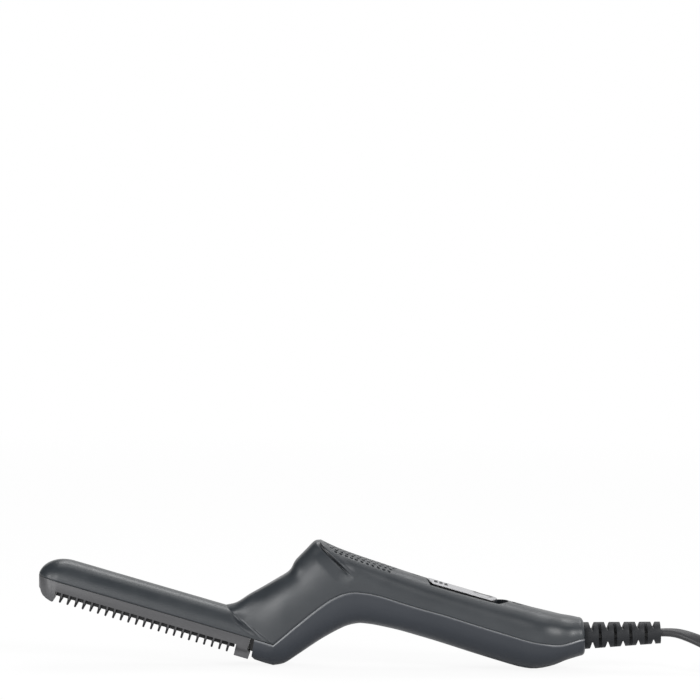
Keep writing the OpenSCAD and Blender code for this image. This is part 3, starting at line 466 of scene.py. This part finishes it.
def prism(outline, low, high):
    """A solid of the comb frame from an outline in X and Y between two heights."""
    return extruded([[[x, y, z] for x, y in outline] for z in (low, high)])


def slab(outline, half):
    """A solid of the comb frame from a side view in X and Z, half the given width to each side."""
    return extruded([[[x, side * half, z] for x, z in outline] for side in (-1, 1)])


def bar(outline, x0, x1):
    """A solid of the comb frame from an outline in Y and Z between two places along the comb."""
    return extruded([[[x, y, z] for y, z in outline] for x in (x0, x1)])


# How sharply the bowed ends of the window and the slider turn at their sides
BOW_POWER = 2.2


def bowed(x0, x1, half, bow0, bow1, steps=14):
    """A long opening's outline whose two ends bow out by bow0 and bow1 along the comb."""
    ys = [half * math.sin(math.pi / 2 * k / steps) for k in range(-steps, steps + 1)]
    out = [(x1 - bow1 * (abs(y) / half) ** BOW_POWER, y) for y in ys]
    return out + [(x0 + bow0 * (abs(y) / half) ** BOW_POWER, y) for y in reversed(ys)]


def rounded(x0, x1, half, r, steps=6):
    """A rectangle with round corners, centred across the comb."""
    out = []
    for cx, cy, a0 in ((x1 - r, half - r, 0), (x0 + r, half - r, 90),
                       (x0 + r, r - half, 180), (x1 - r, r - half, 270)):
        out += [(cx + r * math.cos(math.radians(a0 + 90 * k / steps)),
                 cy + r * math.sin(math.radians(a0 + 90 * k / steps))) for k in range(steps + 1)]
    return out


def circle(x, r, steps=40):
    """A circle's outline, centred across the comb."""
    return [(x + r * math.cos(2 * math.pi * k / steps), r * math.sin(2 * math.pi * k / steps))
            for k in range(steps)]


def combine(obj, other, operation):
    """Cuts or joins another solid, and keeps the result as obj's mesh."""
    mod = obj.modifiers.new("cut", "BOOLEAN")
    mod.object, mod.operation, mod.solver = other, operation, "MANIFOLD"
    bpy.context.view_layer.update()
    made = bpy.data.meshes.new_from_object(obj.evaluated_get(bpy.context.evaluated_depsgraph_get()))
    obj.modifiers.clear()
    obj.data = made
    bpy.data.objects.remove(other)


# ---------- dots behind the peak ----------
DOT_R, DOT_DEPTH, DOT_PITCH = 0.66, 1.2, 2.65
DOT_ROWS_AT, DOT_STRETCH = (0, 2.9, 5.7, 8.2), (1.3, 1.3, 1.2, 1.1)
DOT_X0, DOT_X1 = PEAK_X + 2.4, PEAK_X + 37.5
# How much sooner each row ends than the one nearer the ridge
DOT_TAPER = 1.1
DOT_COLUMNS = 200
# Dots and marks are above this height only, on top of the handle.
TOP_FROM = PART_Z + 3


def dot_places():
    """Centres of the dots on the upper casing, in staggered rows on both sides of the ridge."""
    rows = top_rows[len(tip_part):]
    skin = arcs(rows, 0, DOT_COLUMNS, 0)
    ridge = DOT_COLUMNS // 2
    found = []
    for row in range(1 - len(DOT_ROWS_AT), len(DOT_ROWS_AT)):
        x = DOT_X0 + (DOT_PITCH / 2 if row % 2 else 0) + DOT_PITCH * (abs(row) // 2)
        while x < DOT_X1 - abs(row) * DOT_TAPER:
            # The rows before the peak are left out by a large penalty.
            i = int(np.argmin(np.abs(skin[:, ridge, 0] - x) + 1e3 * (skin[:, ridge, 0] < PEAK_X)))
            run = np.concatenate([[0], np.cumsum(np.linalg.norm(np.diff(skin[i], axis=0), axis=1))])
            at = run[ridge] + np.sign(row) * DOT_ROWS_AT[abs(row)]
            # Dots near the ridge are longer across it.
            found.append([*[np.interp(at, run, skin[i][:, c]) for c in range(3)], DOT_STRETCH[abs(row)]])
            x += DOT_PITCH
    return np.array(found)


dots = dot_places()


def dot_depth(p):
    """How deep each point of a grid lies in a dot, from 0 to 1."""
    flat = p.reshape(-1, 3)
    depth = np.zeros(len(flat))
    near = (flat[:, 0] > DOT_X0 - 3) & (flat[:, 0] < DOT_X1 + 12) & (flat[:, 2] > TOP_FROM)
    picked = flat[near]
    best = np.full(len(picked), 9.0)
    for x, y, z, stretch in dots:
        across = np.hypot(picked[:, 1] - y, picked[:, 2] - z) / stretch
        best = np.minimum(best, np.hypot(picked[:, 0] - x, across))
    depth[near] = 1 - smoothstep(best, DOT_R * 0.72, DOT_R * 1.08)
    return depth.reshape(p.shape[:-1])


MARK_ON, MARK_OFF = PEAK_X + 46.9, PEAK_X + 95.3
RING_R = 1.9


def mark_share(p):
    """1 in the on and off marks, a short bar and a ring on top of the handle."""
    x, y = p[..., 0], np.abs(p[..., 1])
    dash = (1 - smoothstep(np.abs(x - MARK_ON), 1.4, 1.7)) * (1 - smoothstep(y, 0.5, 0.8))
    ring = 1 - smoothstep(np.abs(np.hypot(x - MARK_OFF, y) - RING_R), 0.35, 0.65)
    return np.maximum(dash, ring) * (p[..., 2] > TOP_FROM)


def rim_share(p, width):
    """1 at the outer rim of each row of a grid and 0 at width from it, along the surface."""
    out = np.zeros(p.shape[:2])
    for order in (1, -1):
        q = p[:, ::order]
        steps = np.linalg.norm(np.diff(q, axis=1), axis=2)
        run = np.concatenate([np.zeros((len(p), 1)), np.cumsum(steps, axis=1)], 1)
        share = np.clip(1 - run / width, 0, 1)
        out = np.maximum(out, share[:, ::order])
    return out


# The two folds in the upper casing's sides: at the foot of the neck and below the peak.
FOOT = ((90.5, 8.5), (107, 1.1))
PEAK = ((PEAK_X + 0.4, 50.6), (136.3, 41.6))
FOOT_DEPTH, PEAK_DEPTH, GROOVE_IN_FOLD, MARK_DEPTH = 2.2, 1.3, 0.5, 0.7
# The fold at the foot has no slope of its own, so its reach is longer than the comb.
FOOT_REACH, PEAK_REACH = 400, 7
# Where the fold at the foot starts to run out, and over what length, measured level with the floor
FOOT_LEVEL, FOOT_RUN = 91, 22
# About half the handle's width, against which the folds are placed across the casing
FLANK = 12.5


def fold_share(p):
    """1 along the bottom of the fold below the peak, where a groove is pressed in and shade is painted."""
    t, d = beside(p, *PEAK)
    ends = smoothstep(t, -0.1, 0.05) * (1 - smoothstep(t, 0.6, 1.05))
    return np.exp(-((d + 0.5) / 0.5) ** 2) * ends * smoothstep(np.abs(p[..., 1]) / FLANK, 0.15, 0.45)


def top_shape(p):
    """How far the upper casing's outside is pressed in: creases, dots and the rounded rim."""
    across = np.abs(p[..., 1]) / FLANK
    neck = crease(p, *PEAK, PEAK_DEPTH, PEAK_REACH, -1, (-0.05, 0.15, 0.75, 1.2), lip=0.35)
    # The fold at the foot of the neck is deepest at the valley and runs out towards the handle.
    level = p[..., 0] * math.cos(TILT) + p[..., 2] * math.sin(TILT)
    foot = crease(p, *FOOT, FOOT_DEPTH, FOOT_REACH, 1, (-0.1, 0.35, 1.6, 2.4), edge=2.6)
    foot = foot * np.clip(1 - (level - FOOT_LEVEL) / FOOT_RUN, 0, 1) ** 1.6
    neck, foot = neck * smoothstep(across, 0.15, 0.5), foot * smoothstep(across, 0.3, 0.62)
    rim = rim_share(p, 0.6) ** 2 * 0.22
    marks = DOT_DEPTH * dot_depth(p) + MARK_DEPTH * mark_share(p)
    return neck + foot + rim + marks + GROOVE_IN_FOLD * fold_share(p)


def base_shape(p):
    """The lower casing's rounded rim."""
    return rim_share(p, 0.7) ** 2 * 0.3 - 0.06 * rim_share(p, 2.5)


WINDOW_X, WINDOW_L, WINDOW_HALF = PEAK_X + 51.7, 39.3, 7.8
BOARD_L = 58
SCREW_XS = (WINDOW_X - 21, WINDOW_X - 15 + BOARD_L + 7)
BOSS_R, HOLE_R = 3.4, 2.6
casing_top = shell(top_rows, 0, 190, 0.3, 0, top_shape)
window = bowed(WINDOW_X, WINDOW_X + WINDOW_L, WINDOW_HALF, 2.3, 4.4)
combine(casing_top, prism(window, GRIP_Z - 6, GRIP_Z + 4), "DIFFERENCE")
place(casing_top, "casing_top", "comb", "casing", 38)
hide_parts("upper_shell")
casing_base = shell(base_rows, 4, 110, 0.2, -SEAM, base_shape)
for x in SCREW_XS:
    combine(casing_base, prism(circle(x, BOSS_R), BASE_Z + 0.7, BASE_Z + 6.6), "UNION")
    combine(casing_base, prism(circle(x, HOLE_R), BASE_Z - 3, BASE_Z + 5), "DIFFERENCE")
# The tongue behind the gap between the guard's block and the nose.
GUARD_END = NOSE_FRONT - 1.8
KEY_X0, KEY_X1, KEY_TOP, KEY_LOW = GUARD_END + 0.2, NOSE_FRONT + 1.5, -0.35, -6.2
KEY = [(KEY_X0, KEY_TOP), (KEY_X0, KEY_LOW + 1), (NOSE_FRONT - 0.05, KEY_LOW), (KEY_X1, KEY_LOW),
       (KEY_X1, KEY_TOP)]
combine(casing_base, slab(KEY, BARREL_R - WALL - 2.5), "UNION")
place(casing_base, "casing_base", "comb", "casing", 38)
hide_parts("lower_shell")


def paint(obj, name, values):
    """A value between 0 and 1 for each vertex, which the materials read by name."""
    layer = obj.data.attributes.new(name, "FLOAT", "POINT")
    layer.data.foreach_set("value", np.asarray(values, np.float32))


def corners(obj):
    """An object's vertices in the comb frame."""
    flat = np.empty(3 * len(obj.data.vertices), np.float32)
    obj.data.vertices.foreach_get("co", flat)
    return comb_frame(flat.reshape(-1, 3).astype(float))


# The parting's side view, along which the lower casing's lip is painted lighter as a highlight.
parting = np.array([[r[2], r[3]] for r in base_rows])


def lip_highlight_share(p, reach):
    """1 on the parting and 0 at reach from it, in the side view."""
    best = np.full(len(p), 99.0)
    for a, b in zip(parting, parting[1:]):
        along = b - a
        t = np.clip(((p[:, [0, 2]] - a) @ along) / max(float(along @ along), 1e-9), 0, 1)
        best = np.minimum(best, np.linalg.norm(p[:, [0, 2]] - a - t[:, None] * along, axis=1))
    return 1 - smoothstep(best, reach * 0.45, reach)


top_corners = corners(casing_top)
# The dots and the fold below the peak are painted dark as shade in their hollows, FOLD_SHADE of it in the
# fold; the on and off marks take the same dark.
FOLD_SHADE = 0.85
paint(casing_top, "dot", np.max([
    dot_depth(top_corners), mark_share(top_corners), FOLD_SHADE * fold_share(top_corners)], axis=0))
base_corners = corners(casing_base)
# The lip of the lower casing along the parting is painted light as a highlight, out to LIP_REACH from it.
LIP_REACH = 0.62
paint(casing_base, "lip", lip_highlight_share(base_corners + [0, 0, SEAM], LIP_REACH))
# The tongue is painted as shade where it lies in the gap, about this height.
GAP_Z, GAP_HALF = -3.2, 3.1
paint(casing_base, "dot", (base_corners[:, 0] < NOSE_FRONT + 2)
      & (np.abs(base_corners[:, 2] - GAP_Z) < GAP_HALF)
      & (np.abs(base_corners[:, 1]) < BARREL_R - WALL + 0.1))

# ---------- slider ----------
# The CAD slider's place and length. The cap is longer at both ends and narrower, to match the photo.
SLIDER_X, SLIDER_L = WINDOW_X + 2.4, 30.8
SLIDER_HALF, SLIDER_TOP, CROWN_R = 5.9, GRIP_Z + 0.3, 22
SLIDER_BASE = SLIDER_TOP - 6
CAP_FRONT, CAP_END, CAP_EDGE, CAP_T = SLIDER_X - 1.5, SLIDER_X + SLIDER_L + 0.6, 0.25, 0.2
CAP_BOW_FRONT, CAP_BOW_END = 2.3, 2.5
GROOVE_DEPTH = 1.0
GROOVES = [SLIDER_X + 2.1 + 2.45 * k for k in range(3)]
# The thumb scoop's middle, half length, half width and depth
SCOOP_X, SCOOP_L, SCOOP_W, SCOOP_DEPTH = SLIDER_X + SLIDER_L - 6.2, 4.6, 5.0, 0.9


def groove_share(p):
    """1 in the grip grooves across the cap."""
    across = 1 - smoothstep(np.abs(p[..., 1]), 3.9, 4.5)
    return np.max([(1 - smoothstep(np.abs(p[..., 0] - x), 0.6, 0.85)) * across for x in GROOVES], axis=0)


def scoop_share(p):
    """How deep the thumb scoop is, and 1 along its rim, where shade is painted."""
    e = np.hypot((p[..., 0] - SCOOP_X) / SCOOP_L, p[..., 1] / SCOOP_W)
    return np.sqrt(np.clip(1 - e ** 2, 0, 1)), np.exp(-((e - 0.88) / 0.17) ** 2)


def slider_cap():
    """The slider's silver top: crowned, round at its edges, with grip grooves and a thumb scoop."""
    v = np.sin(np.linspace(-1, 1, 53) * math.pi / 2) * SLIDER_HALF
    u = np.linspace(0, 1, 121)
    u = u - 0.06 * np.sin(2 * math.pi * u)
    y = np.repeat(v[None, :], len(u), 0)
    x0 = CAP_FRONT + CAP_BOW_FRONT * (np.abs(y) / SLIDER_HALF) ** BOW_POWER
    x1 = CAP_END - CAP_BOW_END * (np.abs(y) / SLIDER_HALF) ** BOW_POWER
    x = x0 + (x1 - x0) * u[:, None]
    edge = np.minimum(np.minimum(x - x0, x1 - x), (SLIDER_HALF - np.abs(y)))
    gone = np.clip(1 - edge / CAP_EDGE, 0, 1)
    z = SLIDER_TOP - CROWN_R + np.sqrt(CROWN_R ** 2 - y ** 2)
    p = np.stack([x, y, z], -1)
    z = z - CAP_EDGE * (1 - np.sqrt(1 - gone ** 2)) - GROOVE_DEPTH * groove_share(p)
    z = z - SCOOP_DEPTH * scoop_share(p)[0] ** 1.5
    top = np.stack([x, y, z], -1)
    low = np.stack([x, y, np.minimum(z, p[..., 2] - CAP_EDGE) - CAP_T], -1)
    m, n = x.shape
    o = np.arange(m * n).reshape(m, n)
    q = o + m * n
    faces = grid_faces(o) + grid_faces(q)
    for a, b in ((o[:, 0], q[:, 0]), (o[:, -1], q[:, -1]), (o[0], q[0]), (o[-1], q[-1])):
        faces += band_faces(a, b)
    return solid_from(laid(np.concatenate([top.reshape(-1, 3), low.reshape(-1, 3)])), faces)


cap = place(slider_cap(), "slider_cap", "slider", "silver_plastic", 40)
cap_corners = corners(cap)
# The grip grooves and the scoop's rim are painted dark, as shade, on the top of the cap.
paint(cap, "dot", np.maximum(groove_share(cap_corners), scoop_share(cap_corners)[1])
      * (cap_corners[:, 2] > SLIDER_TOP - 4))
# The skirt under the cap, the flange that keeps it in the window and the slot for the switch's lever
SKIRT_IN, FLANGE_OUT, FLANGE_T = 0.55, 1, 0.8
skirt = prism(bowed(CAP_FRONT + SKIRT_IN, CAP_END - SKIRT_IN, SLIDER_HALF - 0.5, CAP_BOW_FRONT, CAP_BOW_END),
              SLIDER_BASE, SLIDER_TOP - 1.75)
flange = rounded(SLIDER_X - FLANGE_OUT, SLIDER_X + SLIDER_L + FLANGE_OUT, SLIDER_HALF + 1.2, 0.6)
combine(skirt, prism(flange, SLIDER_BASE, SLIDER_BASE + FLANGE_T), "UNION")
LEVER_X, LEVER_HALF = SLIDER_X + SLIDER_L / 2, 2.2
lever_slot = rounded(LEVER_X - LEVER_HALF, LEVER_X + LEVER_HALF, 1.2, 0.3)
combine(skirt, prism(lever_slot, SLIDER_BASE - 1, SLIDER_BASE + 2.5), "DIFFERENCE")
# The skirt is dark plastic, and its dark also stands in for the shade under the cap's edge.
place(skirt, "slider_skirt", "slider", "dark_plastic", 30)
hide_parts("power_slider")


# ---------- softened edges ----------
# Edges that turn by more than SHARP degrees are rounded, and faces that turn by less than FLAT join.
SHARP, FLAT = 33, 0.6
FACET_Z, FACET_DEPTH = -6.1, 1.3


def softened(name, source, width, body, slot, segments=2, smooth_angle=40, cutters=()):
    """A finer piece in place of a CAD node: the same solid with its edges rounded, less the cutters."""
    work = bmesh.new()
    work.from_mesh(nodes[source].data)
    bmesh.ops.remove_doubles(work, verts=work.verts, dist=1e-6)
    bmesh.ops.dissolve_limit(work, angle_limit=math.radians(FLAT), verts=work.verts, edges=work.edges)
    sharp = [e for e in work.edges
             if len(e.link_faces) == 2 and e.calc_face_angle(0) > math.radians(SHARP)]
    bmesh.ops.bevel(work, geom=sharp, offset=MM * width, segments=segments, affect="EDGES", profile=0.5,
                    clamp_overlap=True)
    bmesh.ops.recalc_face_normals(work, faces=work.faces)
    mesh = bpy.data.meshes.new(name)
    work.to_mesh(mesh)
    work.free()
    obj = add_object(name, mesh)
    for cutter in cutters:
        combine(obj, cutter, "DIFFERENCE")
    place(obj, name, body, slot, smooth_angle)
    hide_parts(source)


def facet(side):
    """What is cut from the foot of the guard's block, whose sides lean out again below FACET_Z."""
    outside, foot = BARREL_R + 1, FACET_Z - 3.6
    return bar([(side * outside, FACET_Z), (side * (BARREL_R - FACET_DEPTH), FACET_Z),
                (side * BARREL_R, foot), (side * outside, foot)], GUARD_END - 7, GUARD_END + 3)


softened("guard_shell", "comb_guard", 0.28, "comb", "guard", cutters=[facet(-1), facet(1)])
softened("heated_comb", "comb_plate", 0.12, "comb", "plate")
softened("relief_sleeve", "strain_relief", 0.1, "comb", "relief")
softened("lead_strap", "cord_tie", 0.2, "comb", "tie")
softened("plug_shell", "plug_body", 0.7, "comb", "plug", segments=3)
softened("contact_pins", "plug_pins", 0.12, "comb", "pin_metal")


# ---------- materials ----------
def link(tree, a, b):
    """Joins an output to an input of a node tree."""
    tree.links.new(a, b)


def node(tree, kind, **values):
    """A shader node. Values are given to the sockets with these names, or else to its settings."""
    made = tree.nodes.new("ShaderNode" + kind)
    for key, value in values.items():
        if key in made.inputs:
            made.inputs[key].default_value = value
        else:
            setattr(made, key.lower(), value)
    return made


def noise(tree, size, detail=3.0, stretch=(1, 1, 1)):
    """Noise over the object's own coordinates, with features about size millimetres across."""
    coords = node(tree, "TexCoord")
    scale = node(tree, "Mapping")
    scale.inputs["Scale"].default_value = stretch
    link(tree, coords.outputs["Object"], scale.inputs["Vector"])
    made = node(tree, "TexNoise", Scale=1 / (MM * size), Detail=detail, Roughness=0.55)
    link(tree, scale.outputs["Vector"], made.inputs["Vector"])
    return made.outputs["Fac"]


def remap(tree, value, low, high):
    """Noise, which mostly lies between 0.3 and 0.7, brought between low and high."""
    made = node(tree, "MapRange")
    made.inputs["From Min"].default_value, made.inputs["From Max"].default_value = 0.3, 0.7
    made.inputs["To Min"].default_value, made.inputs["To Max"].default_value = low, high
    link(tree, value, made.inputs["Value"])
    return made.outputs["Result"]


def mixed(tree, factor, a, b):
    """A mix of two colours, either of which may be an output."""
    made = node(tree, "Mix", data_type="RGBA")
    link(tree, factor, made.inputs["Factor"])
    # The node has its colour sockets at 6 and 7, after those for numbers and vectors.
    for value, socket in ((a, made.inputs[6]), (b, made.inputs[7])):
        if isinstance(value, tuple):
            socket.default_value = (*value, 1)
        else:
            link(tree, value, socket)
    return made.outputs[2]


def material(name, colour, rough, grain=0.25, depth=0.012, spread=0.1, patch=14, rough_spread=0.05,
             metallic=0.0, sheen=0.0, coat=0.0, gloss=0.5, stretch=(1, 1, 1), marks=()):
    """Moulded, painted or metal stock: colour and roughness vary in patches over a fine grain.
    marks are pairs of a vertex attribute and the colour that it turns the surface to."""
    made = bpy.data.materials.new(name)
    made.use_nodes = True
    tree = made.node_tree
    shader = tree.nodes["Principled BSDF"]
    shader.inputs["Metallic"].default_value = metallic
    shader.inputs["Specular IOR Level"].default_value = gloss
    if sheen:
        shader.inputs["Sheen Weight"].default_value = sheen
        shader.inputs["Sheen Roughness"].default_value = 0.5
    if coat:
        shader.inputs["Coat Weight"].default_value = coat
        shader.inputs["Coat Roughness"].default_value = 0.2
    fine = noise(tree, grain, 4, stretch)
    wide = noise(tree, patch, 3, stretch)
    shade = mixed(tree, wide, tuple(c * (1 - spread) for c in colour),
                  tuple(c * (1 + spread) for c in colour))
    for attribute, tint in marks:
        mark = node(tree, "Attribute")
        mark.attribute_name = attribute
        shade = mixed(tree, mark.outputs["Fac"], shade, tint)
    link(tree, shade, shader.inputs["Base Color"])
    uneven = node(tree, "Math", operation="ADD")
    link(tree, remap(tree, wide, -rough_spread, rough_spread), uneven.inputs[0])
    link(tree, remap(tree, fine, rough - rough_spread, rough + rough_spread), uneven.inputs[1])
    link(tree, uneven.outputs[0], shader.inputs["Roughness"])
    bump = node(tree, "Bump", Strength=0.8, Distance=MM * depth)
    link(tree, fine, bump.inputs["Height"])
    link(tree, bump.outputs["Normal"], shader.inputs["Normal"])
    return made


UPPER, LOWER = (0.0175, 0.021, 0.025), (0.012, 0.0155, 0.022)
# What the attributes dot and lip turn a casing to: painted shade in its hollows, and a painted highlight on
# the lip of the seam
SHADE, LIP_HIGHLIGHT = (0.003, 0.003, 0.004), (0.17, 0.175, 0.185)
stock = {
    "casing": material("casing", UPPER, 0.38, grain=0.22, depth=0.008, spread=0.07,
                       marks=[("dot", SHADE)]),
    "guard": material("guard", (0.048, 0.048, 0.051), 0.42, grain=0.25, depth=0.01, spread=0.06),
    "plate": material("plate", (0.006, 0.006, 0.007), 0.5, grain=0.12, depth=0.02, spread=0.2, patch=5,
                      gloss=0.25),
    "ceramic": material("ceramic", (0.72, 0.69, 0.6), 0.6, grain=0.1, depth=0.02, spread=0.06, patch=3),
    "film": material("film", (0.55, 0.25, 0.04), 0.25, grain=1.2, depth=0.05, spread=0.1, coat=0.5),
    "steel": material("steel", (0.56, 0.56, 0.57), 0.32, grain=0.1, depth=0.01, spread=0.08, metallic=1,
                      stretch=(0.1, 1, 1)),
    "dark_plastic": material("dark_plastic", (0.008, 0.008, 0.009), 0.5, spread=0.15, gloss=0.3),
    "pale_plastic": material("pale_plastic", (0.7, 0.7, 0.67), 0.4, spread=0.04),
    "pale_wire": material("pale_wire", (0.66, 0.66, 0.61), 0.65, grain=0.3, depth=0.05, spread=0.08,
                          patch=3),
    "dark_wire": material("dark_wire", (0.03, 0.03, 0.035), 0.5, grain=0.3, depth=0.02),
    "board": material("board", (0.015, 0.12, 0.045), 0.3, grain=0.6, depth=0.02, spread=0.15, patch=4,
                      coat=0.4),
    "silver_plastic": material("silver_plastic", (0.33, 0.33, 0.34), 0.36, grain=0.15, depth=0.005,
                               spread=0.04, marks=[("dot", (0.006, 0.006, 0.007))]),
    "yellow_plastic": material("yellow_plastic", (0.6, 0.4, 0.04), 0.35, spread=0.05),
    "blue_paint": material("blue_paint", (0.12, 0.3, 0.5), 0.3, spread=0.05, coat=0.4),
    "lead": material("lead", (0.016, 0.016, 0.018), 0.5, grain=0.35, depth=0.012, spread=0.12, patch=20),
    "relief": material("relief", (0.008, 0.009, 0.011), 0.55, grain=0.3, depth=0.012, spread=0.1, gloss=0.3),
    "tie": material("tie", (0.02, 0.02, 0.022), 0.8, grain=0.3, depth=0.12, spread=0.3, patch=0.8, sheen=0.3),
    "plug": material("plug", (0.018, 0.018, 0.02), 0.42, grain=0.25, depth=0.01, spread=0.1),
    "pin_metal": material("pin_metal", (0.66, 0.63, 0.57), 0.24, grain=0.12, depth=0.006, spread=0.06,
                          metallic=1, stretch=(0.12, 1, 1)),
}


def dress(mesh, slot):
    """Gives a mesh its slot's material in place of what it has."""
    mesh.materials.clear()
    mesh.materials.append(stock[slot])


for part in frame["record"]["subparts"]:
    dress(nodes[part["node"]].data, part["material_slot"])
for obj in list(bpy.data.objects):
    if obj.type == "MESH" and obj.get("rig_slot") and obj.name not in nodes:
        dress(obj.data, obj["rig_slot"])
casing_base.data.materials[0] = material(
    "casing_lower", LOWER, 0.38, grain=0.22, depth=0.008, spread=0.07, marks=[("dot", SHADE), ("lip", LIP_HIGHLIGHT)])

# ---------- floor ----------
FLOOR = 3.0
floor = bpy.data.meshes.new("floor")
floor.from_pydata([(-FLOOR, -FLOOR, 0), (FLOOR, -FLOOR, 0), (FLOOR, FLOOR, 0), (-FLOOR, FLOOR, 0)], [],
                  [(0, 1, 2, 3)])
floor_obj = add_object("floor", floor)
paper = bpy.data.materials.new("floor_paper")
paper.use_nodes = True
tree = paper.node_tree
shader = tree.nodes["Principled BSDF"]
shader.inputs["Base Color"].default_value = (0.8, 0.8, 0.8, 1)
shader.inputs["Roughness"].default_value = 0.9
shader.inputs["Specular IOR Level"].default_value = 0
glow = node(tree, "Emission", Strength=1)
ray = node(tree, "LightPath")
# The paper takes shadows round the comb and turns into the white of the backdrop farther out: the
# share of its own glow rises over these distances from the middle.
FADE = {"From Min": 0.4, "From Max": 1.2, "To Min": 0.9, "To Max": 1.0}
spot = node(tree, "NewGeometry")
far = node(tree, "VectorMath", operation="LENGTH")
link(tree, spot.outputs["Position"], far.inputs[0])
fade = node(tree, "MapRange")
for key, value in FADE.items():
    fade.inputs[key].default_value = value
link(tree, far.outputs["Value"], fade.inputs["Value"])
share = node(tree, "Math", operation="MULTIPLY")
link(tree, ray.outputs["Is Camera Ray"], share.inputs[0])
link(tree, fade.outputs[0], share.inputs[1])
blend = node(tree, "MixShader")
link(tree, share.outputs[0], blend.inputs[0])
link(tree, shader.outputs[0], blend.inputs[1])
link(tree, glow.outputs[0], blend.inputs[2])
link(tree, blend.outputs[0], tree.nodes["Material Output"].inputs["Surface"])
floor.materials.append(paper)

# ---------- studio light ----------
CARD_LEVEL, CARD_Z = 0.06, 0.5
grey = bpy.data.materials.new("card_grey")
grey.use_nodes = True
tree = grey.node_tree
tree.nodes.clear()
glow = node(tree, "Emission", Strength=CARD_LEVEL)
end = node(tree, "OutputMaterial")
link(tree, glow.outputs[0], end.inputs["Surface"])


def card(name, corner, one, other):
    """A dark card that is seen only in the comb's gloss, from a corner and its two sides."""
    mesh = bpy.data.meshes.new(name)
    corner, one, other = Vector(corner), Vector(one), Vector(other)
    mesh.from_pydata([corner, corner + one, corner + one + other, corner + other], [], [(0, 1, 2, 3)])
    mesh.materials.append(grey)
    obj = add_object(name, mesh)
    for ray_kind in ("camera", "diffuse", "shadow", "transmission", "volume_scatter"):
        setattr(obj, "visible_" + ray_kind, False)


# The front card gives the curved tops their darker band, and the others darken what faces the left.
card("front_card", (-1, -1.1, CARD_Z), (2, 0, 0), (0, 1, 0))
card("back_card", (-1.2, -0.1, CARD_Z), (0.98, 0, 0), (0, 1, 0))
card("left_card", (-1.3, -0.9, 0), (0, 2.7, 0), (0, 0, 1.2))


LAMP_AIM, LAMP_DISTANCE = Vector((0, 0, 0.03)), 1.1


def softbox(name, azimuth, elevation, width, height, power):
    """A soft lamp that looks at the comb. Azimuth turns from the camera's side towards +X."""
    lamp = bpy.data.lights.new(name, "AREA")
    lamp.shape, lamp.size, lamp.size_y, lamp.energy = "RECTANGLE", width, height, power
    obj = add_object(name, lamp)
    a, e = math.radians(azimuth), math.radians(elevation)
    away = Vector((math.sin(a) * math.cos(e), -math.cos(a) * math.cos(e), math.sin(e)))
    obj.location = LAMP_AIM + LAMP_DISTANCE * away
    obj.rotation_mode = "QUATERNION"
    obj.rotation_quaternion = away.to_track_quat("Z", "Y")


softbox("left_box", -25, 8, 0.4, 0.4, 4.8)
softbox("side_box", -58, 8, 0.22, 0.4, 4)
softbox("right_box", 42, 30, 0.3, 0.3, 7)
softbox("back_box", 180, 60, 0.8, 0.4, 5.2)
softbox("top_box", 0, 85, 0.8, 0.4, 1.6)

# The world is white where the camera or the gloss sees it, and dimmer as a light.
WORLD_LEVEL = 0.5
world = bpy.data.worlds.new("studio")
bpy.context.scene.world = world
world.use_nodes = True
tree = world.node_tree
tree.nodes.clear()
seen = node(tree, "Background", Strength=1, Color=(1, 1, 1, 1))
soft = node(tree, "Background", Strength=WORLD_LEVEL, Color=(1, 1, 1, 1))
ray = node(tree, "LightPath")
most = node(tree, "Math", operation="MAXIMUM")
more = node(tree, "Math", operation="MAXIMUM")
blend = node(tree, "MixShader")
end = node(tree, "OutputWorld")
link(tree, ray.outputs["Is Camera Ray"], most.inputs[0])
link(tree, ray.outputs["Is Glossy Ray"], most.inputs[1])
link(tree, most.outputs[0], more.inputs[0])
link(tree, ray.outputs["Is Transmission Ray"], more.inputs[1])
link(tree, more.outputs[0], blend.inputs[0])
link(tree, soft.outputs[0], blend.inputs[1])
link(tree, seen.outputs[0], blend.inputs[2])
link(tree, blend.outputs[0], end.inputs["Surface"])
bpy.context.scene.view_settings.view_transform = "Standard"
